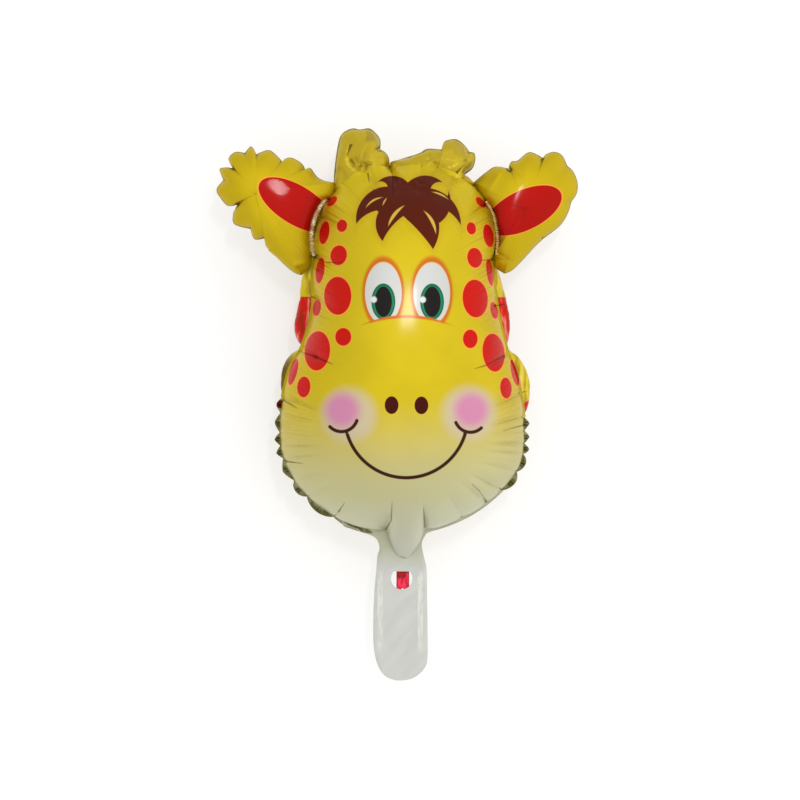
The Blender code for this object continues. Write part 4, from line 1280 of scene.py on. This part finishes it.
# The valve: two narrow layers of red film between the tail's two sheets, welded to them at the
# sides. Their mouth gapes a little in the hole, where the filling straw goes in.
VALVE_WIDTH = 0.0111
VALVE_TOP, VALVE_END = -0.1640, -0.1826
VALVE_FRONT, VALVE_BACK = 0.00025, -0.0004
MOUTH_MIDDLE = (401.3, 575.0)  # in pixels of the photograph
MOUTH_HALVES = (5.0, 3.7)
mouth_x, mouth_y = from_photo([MOUTH_MIDDLE])[0]
mouth_wide, mouth_high = (half * PHOTO_SCALE for half in MOUTH_HALVES)
END_WAVE = (0.0002, -0.0042, 0.0045)  # height of the wave in the end's edge, its x and its length
NOTCH = (-0.0012, 0.0019, 0.0017)  # x of the notch, its half width and its height
END_SLANTS = ((1, 0.0012, 0.85), (-1, 0.0056, 1.2))  # side, how far out the slant starts, and slope
# Round the mouth, with places as squared shares of its half sizes: depth and reach of the hollow,
# then height, place and reach of the rim
MOUTH_HOLLOW = (0.00045, 0.8)
MOUTH_RIM = (0.00035, 1.25, 0.35)
FLUTES = (0.00016, 1700, 900)  # height, and how close they are to the right and up
side_x = np.linspace(-0.5, 0.5, 61) * VALVE_WIDTH + FILM_FROM_FACE
end_edge = VALVE_END - END_WAVE[0] * np.cos((side_x - END_WAVE[1]) / END_WAVE[2])
end_edge += NOTCH[2] * np.clip(1 - np.abs(side_x - NOTCH[0]) / NOTCH[1], 0, 1)
for side, start, slope in END_SLANTS:
    end_edge += slope * np.clip(side * side_x - start, 0, 1)
down = np.linspace(0, 1, 121)
valve_x = np.repeat(side_x[None, :], len(down), 0)
valve_y = VALVE_TOP + (end_edge[None, :] - VALVE_TOP) * down[:, None]
cup = ((valve_x - mouth_x) / mouth_wide) ** 2 + ((valve_y - mouth_y) / mouth_high) ** 2
gape = MOUTH_RIM[0] * np.exp(-(((cup - MOUTH_RIM[1]) / MOUTH_RIM[2]) ** 2))
gape -= MOUTH_HOLLOW[0] * np.exp(-((cup / MOUTH_HOLLOW[1]) ** 2))
flutes = FLUTES[0] * np.sin(valve_x * FLUTES[1] + valve_y * FLUTES[2]) * np.clip(cup - 1, 0, 1)
heights = (VALVE_FRONT + gape + flutes, np.full_like(valve_x, VALVE_BACK))
valve = put_in_scene("valve", film_strip("valve", valve_x, valve_y, heights))
valve.data.shade_smooth()
valve.data.set_sharp_from_angle(angle=SHARP_ANGLE)

red_film, tree, shader = start_material("red valve film, thin and glossy")
place, beside, up = from_the_face(tree)
mouth_oval = 1000 * np.array((mouth_x, mouth_y, mouth_wide, mouth_high))
mouth = oval(tree, place, *mouth_oval)
streak = clouds(
    tree, place, 1.0, stretch={2: (0, 0, -0.25), 3: (0.75, 0.16, 0.5)}, between=(0.4, 0.62))
red = ink(tree, linear("D40D2E"), streak, "F03A5C")
off = band(tree, beside, FILM_FROM_FACE * 1000, 0.0)
margin_mask = add(tree, "MapRange", {0: off, 1: 4.0, 2: 5.4, 4: 0.75})
red = ink(tree, red, margin_mask, "7C0C22")
# Painted shade: the gaping mouth is coloured darker, and a band at its top, just under the hole's upper edge,
# darker still
red = stamp(tree, red, mouth, "8C0008", 1.0)
deeper = oval(tree, place, *(mouth_oval + (0.0, 1.0, -1.0, -1.2)))
red = stamp(tree, red, deeper, "B00008", 2.0)
upper = add(tree, "MapRange", {0: up, 1: -168.5, 2: -167.3, 4: 0.85})
red = ink(tree, red, upper, "5A1418")
fill(tree, shader, {"Base Color": red, "Roughness": 0.25, "Specular IOR Level": 0.2})
valve.data.materials.append(red_film)
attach(valve, "root")
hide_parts("valve_film")

# The studio: a plain pale floor under the balloon, in a pale room that is a little darker towards
# the horizon and brighter at the right, and a small bright lamp beyond the balloon's top.
FLOOR_HALF = 4.0
floor_mesh = bpy.data.meshes.new("floor")
corners = [(x * FLOOR_HALF, y * FLOOR_HALF, 0) for x, y in ((-1, -1), (1, -1), (1, 1), (-1, 1))]
floor_mesh.from_pydata(corners, [], [(0, 1, 2, 3)])
floor = put_in_scene("floor", floor_mesh)
floor_paint, tree, shader = start_material("white acrylic floor, lit a little from below")
fill(tree, shader, {
    "Base Color": linear("BCBCBC"), "Emission Color": linear("FFFFFF"), "Emission Strength": 0.5,
    "Roughness": 0.9})
floor_mesh.materials.append(floor_paint)

LAMP_SIZE = (0.05, 0.30)
LAMP_POWER = 6.6
LAMP_PLACE = (0.15, 0.65, 2.4)
lamp = bpy.data.lights.new("small_lamp", "AREA")
lamp.shape = "RECTANGLE"
lamp.size, lamp.size_y = LAMP_SIZE
lamp.energy = LAMP_POWER
light = put_in_scene("small_lamp", lamp)
light.location = LAMP_PLACE
light.rotation_mode = "QUATERNION"
light.rotation_quaternion = (Vector(FACE) - light.location).to_track_quat("-Z", "Y")

world = bpy.data.worlds.new("pale room")
world.use_nodes = True
bpy.context.scene.world = world
sky = world.node_tree
toward = add(sky, "TexCoord", {}, out="Generated")
up = add(sky, "SeparateXYZ", {0: toward}, out=2)
bright = add(sky, "MapRange", {0: up, 1: 0.0, 2: 0.8, 3: 0.94, 4: 1.0})
right = add(sky, "SeparateXYZ", {0: toward})
panel = add(sky, "MapRange", {0: right, 1: 0.2, 2: 0.9, 4: 0.42})
bright = add(sky, "Math", {0: bright, 1: panel}, operation="ADD")
fill(sky, sky.nodes["Background"], {"Strength": bright, "Color": (1, 1, 1, 1)})

SENSOR_WIDTH = 36.0
camera = put_in_scene("camera", bpy.data.cameras.new("camera"))
camera.location = Vector(EYE + FACE)
camera.rotation_euler = (0, -CAMERA_YAW, 0)
camera.data.sensor_width = SENSOR_WIDTH
camera.data.lens = SENSOR_WIDTH * CAMERA_DISTANCE / (PHOTO_SIZE * PHOTO_SCALE)
camera.data.clip_end = 100.0
bpy.context.scene.camera = camera
bpy.context.scene.view_settings.view_transform = "Standard"
